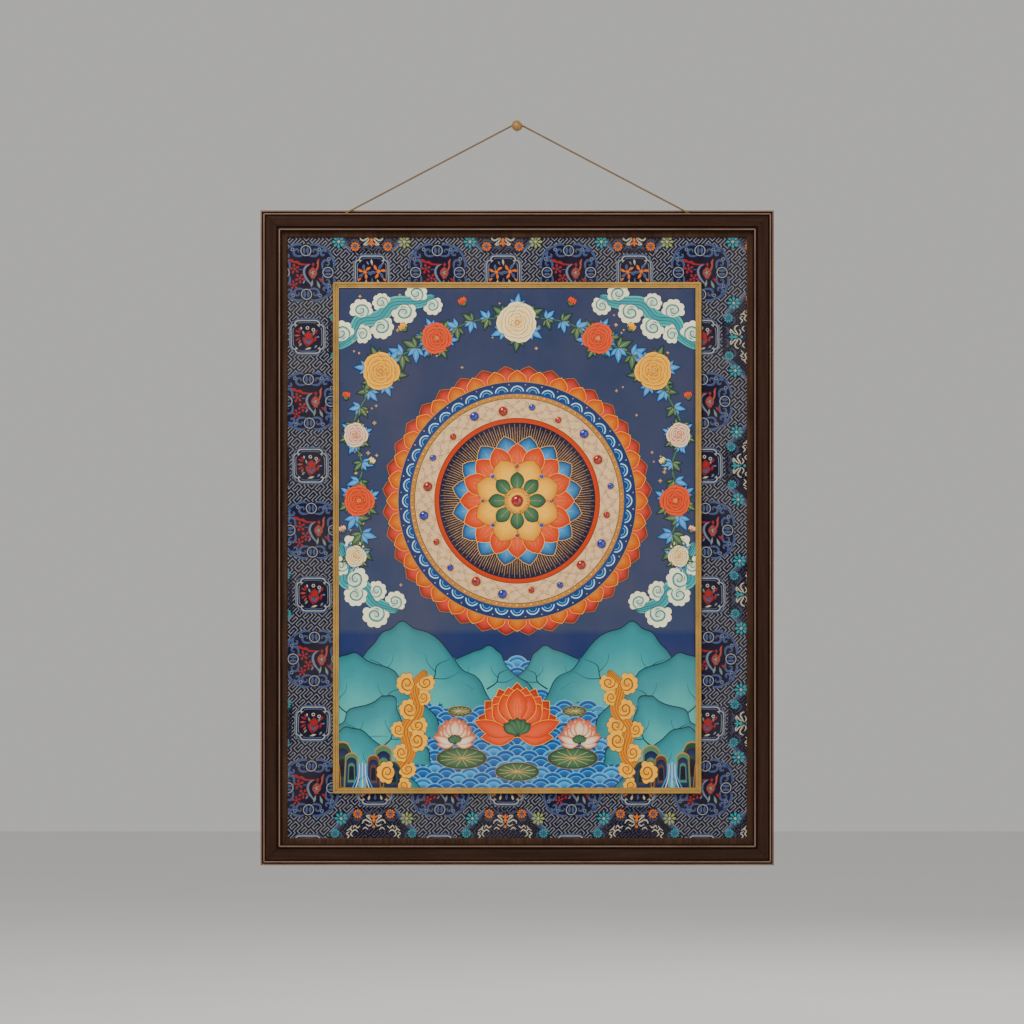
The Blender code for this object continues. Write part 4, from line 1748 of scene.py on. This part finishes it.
    def arm(self, silk: Tone, spread: float) -> None:
        """Half an arm of the large field: its white scrolls, dim clouds and ring rosette.

        Args:
            silk: The rosette's thread.
            spread: How far the rosette lies from the arm's middle.
        """
        silks, level = self.silks, self.motif_level
        whites = (
            ((1.6, 34.4, 1.0), (5.4, 36.4, 2.2), (9.2, 38.6, 2.2), (12.4, 37.4, 2.2), (13.8, 34.2, 1.2)),
            ((2.6, 36.6, 1.2), (4.6, 39.6, 2.1), (8.6, 43.2, 2.1), (5.2, 43.8, 1.6), (5.6, 41.6, 0.9)),
            ((1.8, 33.6, 1.0), (5.2, 31.4, 1.9), (9.2, 33.4, 1.0)),
            ((6.6, 27.0, 1.0), (10.0, 29.6, 1.9), (13.0, 27.2, 1.0)),
            ((16.0, 31.6, 1.0), (19.4, 29.2, 2.0), (22.6, 32.0, 1.6), (24.6, 28.4, 1.0)),
            ((24.2, 18.6, 0.9), (27.0, 21.6, 2.0), (25.4, 25.0, 1.8), (28.4, 27.6, 1.9), (31.6, 25.6, 1.0)),
        )
        clouds = (
            ((2.0, 49.8, 1.4), (5.2, 46.6, 3.0), (9.6, 46.8, 3.0), (12.0, 50.0, 1.4)),
            ((27.0, 44.4, 1.2), (30.4, 40.4, 3.2), (34.4, 37.0, 3.2), (36.4, 32.6, 1.2)),
            ((13.8, 43.0, 1.2), (17.4, 38.6, 2.6), (22.6, 38.8, 2.6), (24.4, 42.0, 1.2)),
        )
        for points in whites:
            self.scroll(points, silks.cream, level, self.fineness)
        for points in clouds:
            self.scroll(points, silks.dusk, level - 0.03)
        with self.easel.at(spread, 45.8):
            self.rosette(silk, silks.blue, 10, 1.8, 4.0, 2.8)


# ---------------------------------------------------------------- painting


@dataclass(frozen=True)
class Pigments:
    """The painting's colours."""

    night: Colour = seen(58, 68, 104)
    night_low: Colour = seen(66, 78, 112)
    night_deep: Colour = seen(36, 38, 66)
    plum: Colour = seen(66, 60, 74)
    azure: Colour = seen(60, 124, 182)
    azure_deep: Colour = seen(38, 56, 112)
    sky: Colour = seen(104, 172, 206)
    sea: Colour = seen(72, 156, 162)
    sea_pale: Colour = seen(112, 182, 178)
    sea_deep: Colour = seen(30, 84, 96)
    vermilion: Colour = seen(196, 78, 54)
    madder: Colour = seen(134, 42, 38)
    coral: Colour = seen(214, 124, 96)
    rose: Colour = seen(208, 104, 92)
    ochre: Colour = seen(204, 150, 74)
    straw: Colour = seen(222, 192, 126)
    umber: Colour = seen(110, 76, 48)
    chalk: Colour = seen(206, 204, 190)
    bone: Colour = seen(202, 184, 158)
    mist: Colour = seen(160, 188, 184)
    green: Colour = seen(92, 138, 102)
    moss: Colour = seen(42, 80, 60)
    ink: Colour = seen(30, 30, 42)
    gold: Colour = seen(188, 144, 80)

    def tone(self, names: str) -> Tone:
        """The tone of a core, a rim and perhaps a line, by their names."""
        return Tone(*(getattr(self, name) for name in names.split()))

    @property
    def white_cloud(self) -> tuple[Colour, ...]:
        """Line, light, middle and deep colours of a white cloud."""
        return (self.sea_deep, self.chalk, self.sea_pale, self.sea)

    @property
    def gold_cloud(self) -> tuple[Colour, ...]:
        """Line, light, middle and deep colours of a golden cloud."""
        return (self.umber, blend(self.straw, self.ochre, 0.3), self.ochre, self.ochre)


class Paintwork:
    """The reliefs that the painting is drawn on, and the strokes that its motifs share."""

    def __init__(self, face: Face) -> None:
        """Start the reliefs.

        Args:
            face: The canvas's face.
        """
        self.easel = Easel()
        self.colours = Pigments()
        names = (
            "painted_water", "painted_clouds", "painted_rings", "painted_blooms",
            "gilded_lines", "red_stones", "blue_stones",
        )
        self.reliefs = {name: Relief(name, face, self.easel) for name in names}
        self.water, self.clouds, self.rings, self.blooms, *metal = self.reliefs.values()
        self.gilding, self.red, self.blue = metal
        self.leaf_green = self.colours.tone("green moss ink")
        self.leaf_blue = self.colours.tone("sky azure ink")
        self.gilt = self.colours.tone("straw gold")

    def ribs(self, length: float, spread: float, count: int, level: float, start: float = 0.0) -> None:
        """Gild the lines that fan out along a petal or leaf.

        Args:
            length: The petal's length.
            spread: How far apart the outer lines swell.
            count: How many lines.
            level: How far they stand out.
            start: How far from the easel's place the petal starts.
        """
        t = np.linspace(0.12, 0.76, 5)
        for j in range(count):
            lean = (j - (count - 1) / 2) * spread / (count + 1)
            line = stacked(lean * np.sin(math.pi * t**0.8), start + length * t, 0.5 * (1.15 - t))
            self.gilding.thin(line, self.gilt, level, crown=0.02)

    def petals(self, count: int, inner: float, length: float, width: float, tone: Tone, level: float,
               turn: float = 0.0, tip: float = 0.8, ribs: int = 0) -> float:
        """Draw a ring of the roundel's petals, every other one in front.

        Args:
            count: How many, an even number.
            inner: The radius that they start from.
            length: Their length.
            width: Their width.
            tone: Their colours.
            level: How far the lowest of them stand out.
            turn: Degrees that the first one is turned by.
            tip: As petal's.
            ribs: Gilded lines on each.

        Returns:
            A level that clears them all.
        """
        outline = petal(length, width, 0.4, 0.6, tip) + (0, inner)
        for i in self.easel.around(count, turn):
            rise = level + (i % 2) * (LAYER + 2 * CROWN)
            self.rings.leaf(outline, tone, rise, CROWN, (0, inner + 0.3 * length))
            self.ribs(length, width, ribs, rise + LAYER + CROWN, inner)
        return level + 2 * (LAYER + 2 * CROWN)

    def disc(self, radius: float, level: float, core: Colour, rim: Colour | None = None) -> float:
        """Draw one of the roundel's flat discs and return a level that clears it."""
        self.rings.leaf(ring(radius, 96), Tone(core, rim or core), level, 0.0, (0, 0))
        return level + LAYER

    def bead(self, x: float, z: float, radius: float, level: float) -> None:
        """Gild a small round bead."""
        self.gilding.leaf(ring(radius, 10, x, z), self.gilt, level, 0.7 * radius)

    def stone(self, x: float, z: float, radius: float, level: float, red: bool) -> None:
        """Set a domed stone in a gilded collar.

        Args:
            x: Its middle.
            z: Its middle.
            radius: Its reach.
            level: How far its collar's foot stands out.
            red: Whether it is red and not blue.
        """
        angles = np.linspace(0.0, math.pi / 2, 6)
        dome = [(math.cos(angle), 0.55 * radius * math.sin(angle), (1.0, 1.0, 1.0)) for angle in angles]
        (self.red if red else self.blue).shape(ring(radius, 18, x, z), level + 0.05, dome)
        self.gilding.band(ring(radius + 0.3, 22, x, z), self.gilt, level, 1.3, crown=0.45, closed=True)

    def spray(self, length: float, level: float, tone: Tone) -> None:
        """Draw three leaves that fan out from the easel's place.

        Args:
            length: The longest one's length.
            level: How far the lowest stands out.
            tone: Their colours.
        """
        outline = petal(length, length * 0.40, 0.12, 0.42, 1.15, 0.06)
        for i in self.easel.each(((0, 0, -46, 0.72), (0, 0, 42, 0.76), (0, 0, -3))):
            rise = level + i * 0.035
            self.blooms.leaf(outline, tone, rise, CROWN, (0, 0.4 * length))
            self.ribs(length, 0.0, 1, rise + LAYER + CROWN)

    def bud(self, size: float, level: float, tone: Tone) -> None:
        """Draw a closed bud on its calyx, growing up from the easel's place.

        Args:
            size: Its length.
            level: How far it stands out.
            tone: Its colours.
        """
        outline, calyx = petal(size, size * 0.5, 0.4, 0.5), petal(size * 0.5, size * 0.26, 0.5, 0.5)
        for i in self.easel.each(((0, 0, -20), (0, 0, 20), ())):
            self.blooms.leaf(outline, tone, level + 0.035 * i, CROWN, (0, size * 0.35))
        for _ in self.easel.each(((0, 0, -34), (0, 0, 34))):
            self.blooms.leaf(calyx, self.leaf_green, level + 0.11, CROWN)

    def peony(self, radius: float, tone: Tone, level: float) -> None:
        """Draw a full peony, ruffled and seen from the front.

        Args:
            radius: Its reach.
            tone: Its colours.
            level: How far it stands out.
        """
        for layer, (count, share) in enumerate(((7, 1.0), (7, 0.80), (6, 0.60), (5, 0.42), (3, 0.26))):
            reach = radius * share
            outline = petal(reach, reach * 0.98, 0.15, 0.66, 0.42, steps=12)
            notch = 1.0 - 0.085 * np.abs(np.sin(outline[:, 0] / reach * 9.0)) * (outline[:, 1] / reach) ** 3
            outline = outline * stacked(1.0, notch)
            for i in range(count):
                sway = 9.0 * math.sin(i * 2.4 + layer * 1.7)
                with self.easel.at(turn=layer * 25 + i * 360 / count + sway, size=1.0 - 0.07 * (i % 2)):
                    self.blooms.leaf(outline, tone, level + 0.012 * i, CROWN, (0, reach * 0.5))
            level += 0.012 * count + LAYER
        for _ in self.easel.around(7):
            self.bead(0.0, radius * 0.09, radius * 0.035 + 0.25, level)

    def lotus(self, size: float, tone: Tone, level: float) -> None:
        """Draw a lotus seen from the side, its petals opening upwards.

        Args:
            size: The length of its petals.
            tone: Its colours.
            level: How far it stands out.
        """
        back = Tone(blend(tone.core, tone.rim, 0.45), blend(tone.rim, self.colours.madder, 0.5), tone.line)
        layers = ((back, 7, 68.0, 1.0, 0.1), (tone, 6, 58.0, 0.9, 0.05), (tone, 5, 46.0, 0.78, 0.0))
        for shade, count, spread, length, drop in layers:
            for i in sorted(range(count), key=lambda i: -abs(i - (count - 1) / 2)):
                angle = spread * (2 * i / (count - 1) - 1)
                reach = length * size * (1 - 0.16 * abs(angle) / spread)
                with self.easel.at(0, -drop * size, -angle):
                    outline = petal(reach, 0.41 * size, 0.35, 0.6, 0.85)
                    self.blooms.leaf(outline, shade, level, CROWN, (0, 0.3 * size))
                    self.ribs(reach, 0.24 * size, 3, level + LAYER + CROWN)
                level += 0.03
            level += LAYER + CROWN
        for way in (-1, 1):
            for angle, length in ((108.0, 0.70), (86.0, 0.86)):
                with self.easel.at(0, -0.12 * size, -way * angle):
                    curved = petal(length * size, 0.32 * size, 0.4, 0.55, 0.9, -0.22 * way)
                    self.blooms.leaf(curved, tone, level, CROWN, (0, 0.3 * size))
                level += 0.03
        sepal = petal(0.34 * size, 0.2 * size, 0.5, 0.6)
        for i in self.easel.each((0, -0.14 * size, -50 + 25 * i) for i in range(5)):
            self.blooms.leaf(sepal, self.leaf_green, level + 0.02 * i, CROWN)

    def head(self, size: float, wash: Sequence[Colour], level: float) -> None:
        """Draw one curled head of cloud that grows up from the easel's place.

        Args:
            size: Half its width, about.
            wash: Line, light, middle and deep colours.
            level: How far it stands out.
        """
        line, light, middle, deep = wash
        lobes = (
            (-0.76, 0.50, 0.33), (0.76, 0.52, 0.33), (-0.66, 1.00, 0.35), (0.64, 1.02, 0.35),
            (-0.22, 1.34, 0.36), (0.26, 1.33, 0.34), (0.0, 0.72, 0.74),
        )
        for i, (x, z, share) in enumerate(lobes):
            edge = ring(share * size + OUTLINE, 18, x * size, z * size)
            self.clouds.shape(edge, level + 0.001 * i, flat((1.0, line), (0.5, line), (0.0, line)))
        for i, (x, z, share) in enumerate(lobes):
            heart, hub = (deep, 0.12) if i == len(lobes) - 1 else (light, z - 0.2 * share)
            shading = flat((1.0, light), (0.66, light), (0.36, blend(light, heart, 0.5)), (0.0, heart))
            outline = ring(share * size, 18, x * size, z * size)
            self.clouds.shape(outline, level + 0.012 + 0.002 * i, shading, (x * size * 0.9, hub * size))
        curl = smooth([
            (0.58, 0.14, 0.5), (0.68, 0.66, 1.0), (0.34, 1.12, 1.2), (-0.26, 1.10, 1.2), (-0.52, 0.70, 1.2),
            (-0.24, 0.36, 1.1), (0.16, 0.46, 1.0), (0.22, 0.78, 0.8), (-0.06, 0.84, 0.4),
        ], 4) * (size, size, 1.0)
        self.clouds.band(curl[:, :2] * 0.93, Tone(middle, light), level + 0.028, 0.24 * size, crown=0.003)
        self.clouds.thin(curl, Tone(line, line), level + 0.036, crown=0.008)

    def cloud(self, path: Line, wash: Sequence[Colour], level: float, size: float) -> None:
        """Draw a ribbon of cloud with curled heads along both its sides.

        Args:
            path: The ribbon's middle line.
            wash: Line, light, middle and deep colours.
            level: How far the ribbon stands out.
            size: Half the width of a head, about.
        """
        line, _, middle, deep = wash
        drawn = smooth(path, 8)
        width = size * (0.25 + 0.95 * np.sin(np.linspace(0.0, math.pi, len(drawn))) ** 0.4)
        self.clouds.thin(np.column_stack([drawn, width + 2 * OUTLINE]), Tone(line, line), level, crown=0.0)
        self.clouds.band(np.column_stack([drawn, width]), Tone(deep, middle), level + 0.008, crown=0.008)
        steps = sideways(drawn) * width[:, None]
        for share in (-0.32, -0.1, 0.12, 0.34):
            self.clouds.thin(drawn + steps * share, Tone(line, line), level + 0.018, 0.6, crown=0.006)
        run = run_of(drawn)
        count = round(run[-1] / (1.15 * size))
        for i in range(count):
            far = run[-1] * (i + 0.5) / count
            at = min(int(np.searchsorted(run, far)), len(drawn) - 2)
            way = 1 if i % 2 else -1
            turn = self.upright(drawn, at) + way * 74
            start = drawn[at] + steps[at] * 0.2 * way
            with self.easel.at(start[0], start[1], turn, 0.84 + 0.14 * math.sin(i * 2.3 + size), way < 0):
                self.head(size, wash, level + 0.026 + 0.05 * i)

    @staticmethod
    def upright(line: Array, at: int) -> float:
        """The turn that points up along a line at one of its points."""
        ahead = line[at + 1] - line[at - 1]
        return math.degrees(math.atan2(ahead[1], ahead[0])) - 90


@dataclass
class Waterscape:
    """Hills, gold cloud and water below the sky."""

    work: Paintwork
    wave: float = 14.0
    wave_rise: float = 6.6
    waterline: float = -146.0
    # Each hill's foot (x and z), half width, height, level and lean, from the farthest on.
    hills: tuple[tuple[float, ...], ...] = (
        (128, -196, 96, 96, 0.065, 0.1), (44, -190, 66, 62, 0.053, -0.12), (184, -228, 92, 92, 0.176, 0.16),
        (170, -262, 66, 76, 0.192, -0.2), (200, -302, 84, 78, 0.208, 0.0),
    )
    foot: tuple[Pair, ...] = (
        (108, -158), (122, -178), (118, -204), (132, -228), (128, -256), (144, -280), (142, -300),
    )

    def build(self) -> None:
        """Draw the water in the middle, then the far and near hills at its sides."""
        work = self.work
        for row in range(24):
            for i in range(-6, 7):
                x = (i + 0.5 * (row % 2)) * 2 * self.wave
                tone = work.colours.azure if (i + row) % 3 else work.colours.sky
                self.scale(x, self.waterline - row * self.wave_rise, 0.02 + 0.006 * row, tone)
        for i, (x, z, reach, height, level, lean) in enumerate(self.hills):
            for flipped in work.easel.mirrored(x, z):
                self.hill(reach, height, level + 0.006 * flipped, lean, i)
        for _ in work.easel.mirrored():
            with work.easel.at(184, -298):
                self.cliff(0.24)
            work.cloud(self.foot, work.colours.gold_cloud, 0.24, 12.5)

    def cliff(self, level: float) -> None:
        """Draw a stand of dark rock folds with a fall of water between them.

        Args:
            level: How far it stands out.
        """
        shades, relief = self.work.colours, self.work.clouds
        gold, dark, azure = shades.gold, shades.night_deep, shades.azure_deep
        folds = (
            (-25, 52, 20, shades.green), (24, 56, 21, shades.moss), (-13, 40, 15, shades.umber),
            (13, 43, 15, shades.green), (-36, 33, 19, shades.moss), (36, 35, 19, shades.umber),
        )
        for i, (aside, height, width, rim) in enumerate(folds):
            crest = arc(0.0, height - width / 2, width / 2, 180, 0, 14)
            outline = np.vstack([(-0.6 * width, -4.0), crest, (0.6 * width, -4.0)])
            outline[:, 0] *= 1.0 + 0.07 * np.sin(outline[:, 1] * 0.45 + i)
            shading = flat(
                (1.0, gold), (0.95, gold), (0.945, rim), (0.76, rim), (0.75, dark), (0.5, azure),
                (0.49, rim), (0.36, rim), (0.35, dark), (0.0, shades.ink),
            )
            with self.work.easel.at(aside, 0):
                relief.shape(outline, level + 0.01 * i, shading, (0.0, height * 0.42))
        for i in range(-3, 4):
            line = smooth([(1.7 * i, 31 - abs(i)), (1.7 * i * 1.2, 14), (1.7 * i * 2.6, -2)], 5)
            tone = shades.tone("sky azure" if i % 2 else "chalk azure")
            relief.thin(line, tone, level + 0.07, 1.5, 0.02)

    def scale(self, x: float, z: float, level: float, tone: Colour) -> None:
        """Draw one wave as a half disc of rings.

        Args:
            x: Its middle.
            z: Its crest, about.
            level: How far it stands out.
            tone: Its colour.
        """
        shades, radius = self.work.colours, self.wave
        base = rows([(-radius * 0.7, -radius * 0.5), (radius * 0.7, -radius * 0.5)])
        foam = blend(shades.mist, shades.sky, 0.5)
        shading = flat(
            (1.0, foam), (0.945, foam), (0.94, tone), (0.72, shades.azure_deep), (0.70, shades.sky),
            (0.65, shades.sky), (0.64, tone), (0.0, shades.azure_deep),
        )
        with self.work.easel.at(x, z - radius * 0.55):
            outline = np.vstack([arc(0, 0, radius, 0, 180, 12), base])
            self.work.water.shape(outline, level, shading, (0.0, -radius * 0.1))

    def hill(self, reach: float, height: float, level: float, lean: float, lumps: int) -> None:
        """Draw one hill that pales from its crest to its foot, with bare twigs.

        Args:
            reach: Half its width.
            height: How high its crest rises.
            level: How far it stands out.
            lean: How far its crest lies to the right, as a share of its half width.
            lumps: A number that changes its lumps.
        """
        shades, water = self.work.colours, self.work.water
        drawn = smooth([
            (-1.04, -0.1), (-0.98, 0.10), (-0.80, 0.34), (-0.60, 0.46), (-0.42, 0.74), (lean - 0.20, 0.92),
            (lean, 1.0), (lean + 0.18, 0.90), (0.44, 0.76), (0.58, 0.56), (0.80, 0.42), (0.96, 0.16),
            (1.04, -0.1),
        ], 5)
        ripple = 1.0 + 0.018 * np.sin(np.arange(len(drawn)) * 0.9 + lumps)
        edge = 1.0 - 1.0 / min(reach, height)
        deep = blend(shades.sea, shades.sea_deep, 0.55)
        shading = flat(
            (1.0, shades.ink), (edge, shades.ink), (edge - 0.002, deep),
            (0.90, blend(deep, shades.sea, 0.6)), (0.72, shades.sea),
            (0.45, blend(shades.sea, shades.sea_pale, 0.6)), (0.0, shades.sea_pale),
        )
        water.shape(drawn * ripple[:, None] * (reach, height), level, shading, (0.0, -0.05 * height))
        twig = ((0.12, 0.16, 1.8), (0.30, 0.30, 1.3), (0.34, 0.46, 0.9), (0.50, 0.54, 0.4))
        fork = ((0.30, 0.30, 1.0), (0.46, 0.30, 0.7), (0.62, 0.38, 0.3))
        spur = ((0.32, 0.38, 0.8), (0.22, 0.50, 0.5), (0.20, 0.60, 0.3))
        for way in (-1, 1):
            for points in (twig, fork, spur):
                line = smooth(rows(points) * (way * reach, height, 1.0), 4)
                water.thin(line, shades.tone("moss ink"), level + 0.004, crown=0.01)


@dataclass
class Roundel:
    """The round flower of rings in the painting's middle."""

    work: Paintwork
    z: float = 44.0
    stones: int = 20
    arches: int = 44
    filigree: int = 60
    rays: int = 180

    def build(self) -> None:
        """Draw it from its outer petals in."""
        work, shades = self.work, self.work.colours
        with work.easel.at(0.0, self.z):
            level = work.petals(36, 132, 28, 26, shades.tone("rose madder gold"), 0.30, 5.0, 0.9)
            level = work.petals(36, 128, 27, 21, shades.tone("ochre vermilion straw"), level, 0, 0.95, 1)
            level = work.disc(142.4, level, shades.gold)
            level = work.disc(141.2, level, shades.azure, shades.azure_deep)
            self.cloud_band(level)
            level = work.disc(127.0, level + 0.08, shades.gold)
            self.beads(124.6, 96, 1.7, level)
            level = work.disc(122.2, level, shades.umber)
            level = work.disc(121.4, level, shades.bone)
            self.jewelled_band(level)
            level = work.disc(98.6, level, shades.umber)
            level = work.disc(97.8, level, shades.ochre, shades.vermilion)
            level = work.disc(93.0, level, shades.plum, shades.night_deep)
            self.draw_rays(level)
            level += LAYER
            for names, turn, ribs, *sizes in (
                ("sky azure_deep straw", 11.25, 1, 16, 34, 44, 27),
                ("coral vermilion straw", 0.0, 3, 16, 26, 42, 25),
                ("straw ochre umber", 22.5, 3, 8, 16, 36, 30),
                ("green moss straw", 0.0, 1, 8, 8, 27, 17),
            ):
                level = work.petals(*sizes, shades.tone(names), level, turn, ribs=ribs)
            level = work.disc(15.0, level, shades.straw, shades.ochre)
            self.beads(12.4, 20, 1.5, level)
            for i in work.easel.around(8):
                work.stone(0.0, 41.0, 2.4, level - 0.1, i % 2 == 0)
            work.stone(0.0, 0.0, 7.0, level, True)

    def beads(self, radius: float, count: int, size: float, level: float) -> None:
        """Set a circle of beads."""
        for _ in self.work.easel.around(count):
            self.work.bead(0.0, radius, size, level)

    def cloud_band(self, level: float) -> None:
        """Fill the blue band with small cloud arches and beads.

        Args:
            level: How far they stand out.
        """
        work, shades = self.work, self.work.colours
        for _ in work.easel.around(self.arches):
            work.rings.thin(arc(0.0, 128.6, 7.6, 12, 168, 9), shades.tone("chalk sky"), level, 1.5, 0.03)
            work.rings.thin(arc(0.0, 128.6, 4.6, 10, 170, 7), shades.tone("sky sky"), level, 1.0, 0.03)
        for _ in work.easel.around(self.arches, 180 / self.arches):
            work.bead(0.0, 138.2, 0.9, level)

    def jewelled_band(self, level: float) -> None:
        """Fill the pale band with fine gilded scrolls and set stones of two sizes.

        Args:
            level: How far they stand out.
        """
        work, shades = self.work, self.work.colours
        fine = Tone(blend(shades.umber, shades.bone, 0.25), blend(shades.umber, shades.bone, 0.5))
        around = np.linspace(0.0, math.tau, self.filigree * 12, endpoint=False)
        t = np.linspace(0.0, 1.0, 14)
        curl = polar(2.7 * (1.0 - 0.72 * t), np.radians(250 - 440 * t))
        for row, radius in enumerate((117.0, 110.0, 103.0)):
            wave = radius + 3.2 * np.sin(around * self.filigree / 2 + row * 2.1)
            work.rings.thin(polar(wave, around), fine, level, 0.6, 0.01, closed=True)
            for i in work.easel.around(self.filigree, (row % 2) * 180 / self.filigree):
                with work.easel.at(0.0, radius + 1.6 - 3.2 * (i % 2), flip=(i + row) % 2 == 0):
                    work.rings.thin(np.column_stack([curl, 0.7 * (1.0 - 0.55 * t)]), fine, level + 0.01)
        for i in work.easel.around(self.stones, 180 / self.stones):
            work.stone(0.0, 112.4 if i % 2 else 107.6, 5.4 if i % 4 < 2 else 3.8, level + 0.03, i % 2 == 0)

    def draw_rays(self, level: float) -> None:
        """Draw fine gilded rays on the dark band.

        Args:
            level: How far they stand out.
        """
        gold = self.work.colours.tone("gold gold")
        for i in self.work.easel.around(self.rays):
            start, end = (70.0, 91.6) if i % 2 else (62.0, 88.0)
            ray = rows([(0, start, 0.4), (0.3, (start + end) / 2, 0.55), (0, end, 0.25)])
            self.work.gilding.thin(ray, gold, level, crown=0.03)


@dataclass
class Painting:
    """The painted canvas: a generic design of a round flower over water, among blossoms and clouds."""

    layout: Layout
    effects: Effects
    cloth_step: float = 8.0
    cloth_thick: float = 1.2
    edge: float = 0.4
    margin: float = 2.0
    horizon: float = -110.0
    stars: int = 70
    seed: int = 11
    clear: float = 168.0
    vine: tuple[Pair, ...] = (
        (20, 262), (58, 256), (92, 238), (124, 224), (156, 204), (178, 170), (196, 128), (184, 84),
        (196, 40), (184, 0), (194, -36),
    )

    def build(self) -> None:
        layout = self.layout
        self.work = Paintwork(layout.canvas)
        Waterscape(self.work).build()
        self.sky()
        self.vines()
        self.flowers()
        Roundel(self.work).build()
        self.foreground()
        paint = PaintFinish("gouache").build(self.effects)
        gilt = MetalFinish("painted_gold", srgb(228, 180, 100), srgb(176, 124, 60), 0.45, 0.46, span=5.0)
        red = StoneFinish("red_stone", srgb(96, 6, 8), srgb(186, 20, 20))
        blue = StoneFinish("blue_stone", srgb(10, 18, 90), srgb(26, 48, 180))
        finishes = {"gilded_lines": gilt, "red_stones": red, "blue_stones": blue}
        under = shrunk(layout.canvas_half, self.edge)
        sight = shrunk(under, self.margin)
        for name, relief in self.work.reliefs.items():
            coat = finishes[name].build(self.effects) if name in finishes else paint
            made = relief.build(coat, under if name == "painted_water" else sight)
            adopt(made, "gilt" if name == "gilded_lines" else "canvas")
        cloth = Cloth("painted_cloth", layout.canvas, layout.canvas_half, self.cloth_step, self.cloth_thick)
        painted = adopt(cloth.build(paint, self.ground), "canvas", "painted_canvas")

    def ground(self, x: Array, z: Array) -> Array:
        """Tint the ground: night that pales towards the horizon, deep water below.

        Args:
            x: Places to the right, which don't matter to it.
            z: Places upwards.

        Returns:
            The tints there.
        """
        shades = self.work.colours
        rise = np.clip((z - self.horizon) / (self.layout.canvas_half[1] - self.horizon), 0.0, 1.0)[..., None]
        night = np.array(shades.night_low) * (1 - rise) + np.array(shades.night) * rise
        return np.where(z[..., None] > self.horizon, night, np.array(shades.azure_deep))

    def sky(self) -> None:
        """Scatter gilded stars and draw cloud banks beside and above the flower."""
        work = self.work
        chance = np.random.default_rng(self.seed)
        placed = 0
        while placed < self.stars:
            x, z, size = chance.uniform(-205, 205), chance.uniform(-60, 290), chance.uniform(0.45, 1.0)
            if math.hypot(x, z - Roundel.z) > self.clear:
                with work.easel.at(x, z, 0, size):
                    work.gilding.leaf(scallops(2.6, 4, 0.78, 4), work.gilt, 0.05, 0.06)
                placed += 1
        beside = ((212, -6), (200, -30), (204, -50), (182, -60), (168, -78), (142, -86))
        above = ((214, 226), (196, 240), (186, 258), (164, 262), (148, 278), (118, 280), (98, 286))
        for _ in work.easel.mirrored():
            work.cloud(beside, work.colours.white_cloud, 0.04, 15.0)
            work.cloud(above, work.colours.white_cloud, 0.04, 14.5)

    def vines(self) -> None:
        """Leafy vines that climb both sides and meet above."""
        work = self.work
        path = smooth(self.vine, 8)
        stem = np.column_stack([path, np.linspace(1.4, 2.4, len(path))])
        for _ in work.easel.mirrored():
            work.blooms.band(stem, work.colours.tone("green moss"), 0.42, crown=0.08)
            for i in range(3, len(path) - 2, 4):
                for way in (-1, 1):
                    with work.easel.at(path[i][0], path[i][1], work.upright(path, i) + way * 58):
                        tone = work.leaf_blue if (i // 4 + (way > 0)) % 2 else work.leaf_green
                        work.spray(17.0 + 2.5 * math.sin(i * 1.7), 0.46 + 0.02 * (i % 3), tone)

    def flowers(self) -> None:
        """Peonies and buds along the vines, on both sides and one in the middle above."""
        work, shades = self.work, self.work.colours
        red, yellow = shades.tone("vermilion coral madder"), shades.tone("ochre straw umber")
        white, pink = shades.tone("straw chalk umber"), shades.tone("rose chalk madder")
        peonies = (
            (0, 256, 25, white), (96, 237, 19, red), (162, 198, 23, yellow), (192, 122, 15, pink),
            (188, 44, 19, red), (192, -22, 13, white),
        )
        for x, z, radius, tone in peonies:
            for _ in work.easel.mirrored(x, z) if x else work.easel.each(((x, z),)):
                for i in work.easel.around(6, x):
                    with work.easel.at(0, radius * 0.72):
                        work.spray(radius * 0.72, 0.5, work.leaf_green if i % 2 else work.leaf_blue)
                work.peony(radius, tone, 0.66)
        buds = (
            (62, 276, -30, 11, red), (132, 246, -40, 11, yellow), (204, 164, 10, 10, red),
            (176, 88, 40, 9, white), (206, 6, -20, 9, pink),
        )
        for x, z, turn, size, tone in buds:
            for _ in work.easel.mirrored(x, z, turn):
                work.bud(size, 0.6, tone)

    def foreground(self) -> None:
        """Lotus blossoms and pads on the water."""
        work, shades = self.work, self.work.colours
        for x, z, size in ((-66, -262, 30), (66, -262, 30), (0, -278, 26), (-68, -206, 14), (68, -206, 14)):
            with work.easel.at(x, z):
                work.blooms.leaf(ring(size, 28) * (1.0, 0.42), shades.tone("green moss gold"), 0.34, 0.06)
                for angle in np.radians(np.arange(12) * 30 + 15):
                    tip = (0.86 * size * math.cos(angle), 0.36 * size * math.sin(angle), 0.4)
                    work.gilding.thin(rows([(0, 0, 0.7), tip]), work.gilt, 0.44, crown=0.02)
        red, pink = shades.tone("coral vermilion straw"), shades.tone("chalk rose gold")
        for x, z, size, tone in ((-74, -240, 30, pink), (74, -240, 30, pink), (0, -226, 60, red)):
            with work.easel.at(x, z):
                work.lotus(size, tone, 0.50)


def main() -> None:
    """Build every sub-assembly."""
    logging.basicConfig(level=logging.INFO, format="%(message)s")
    layout = Layout.from_frame()
    effects = Effects()
    Studio(layout, effects).build()
    TwistedCord(effects).build()
    Metalwork(effects).build()
    WoodFrame(layout, effects).build()
    MitreGlue(layout, effects).build()
    Brocade(layout, effects).build()
    Painting(layout, effects).build()


if __name__ == "__main__":
    main()
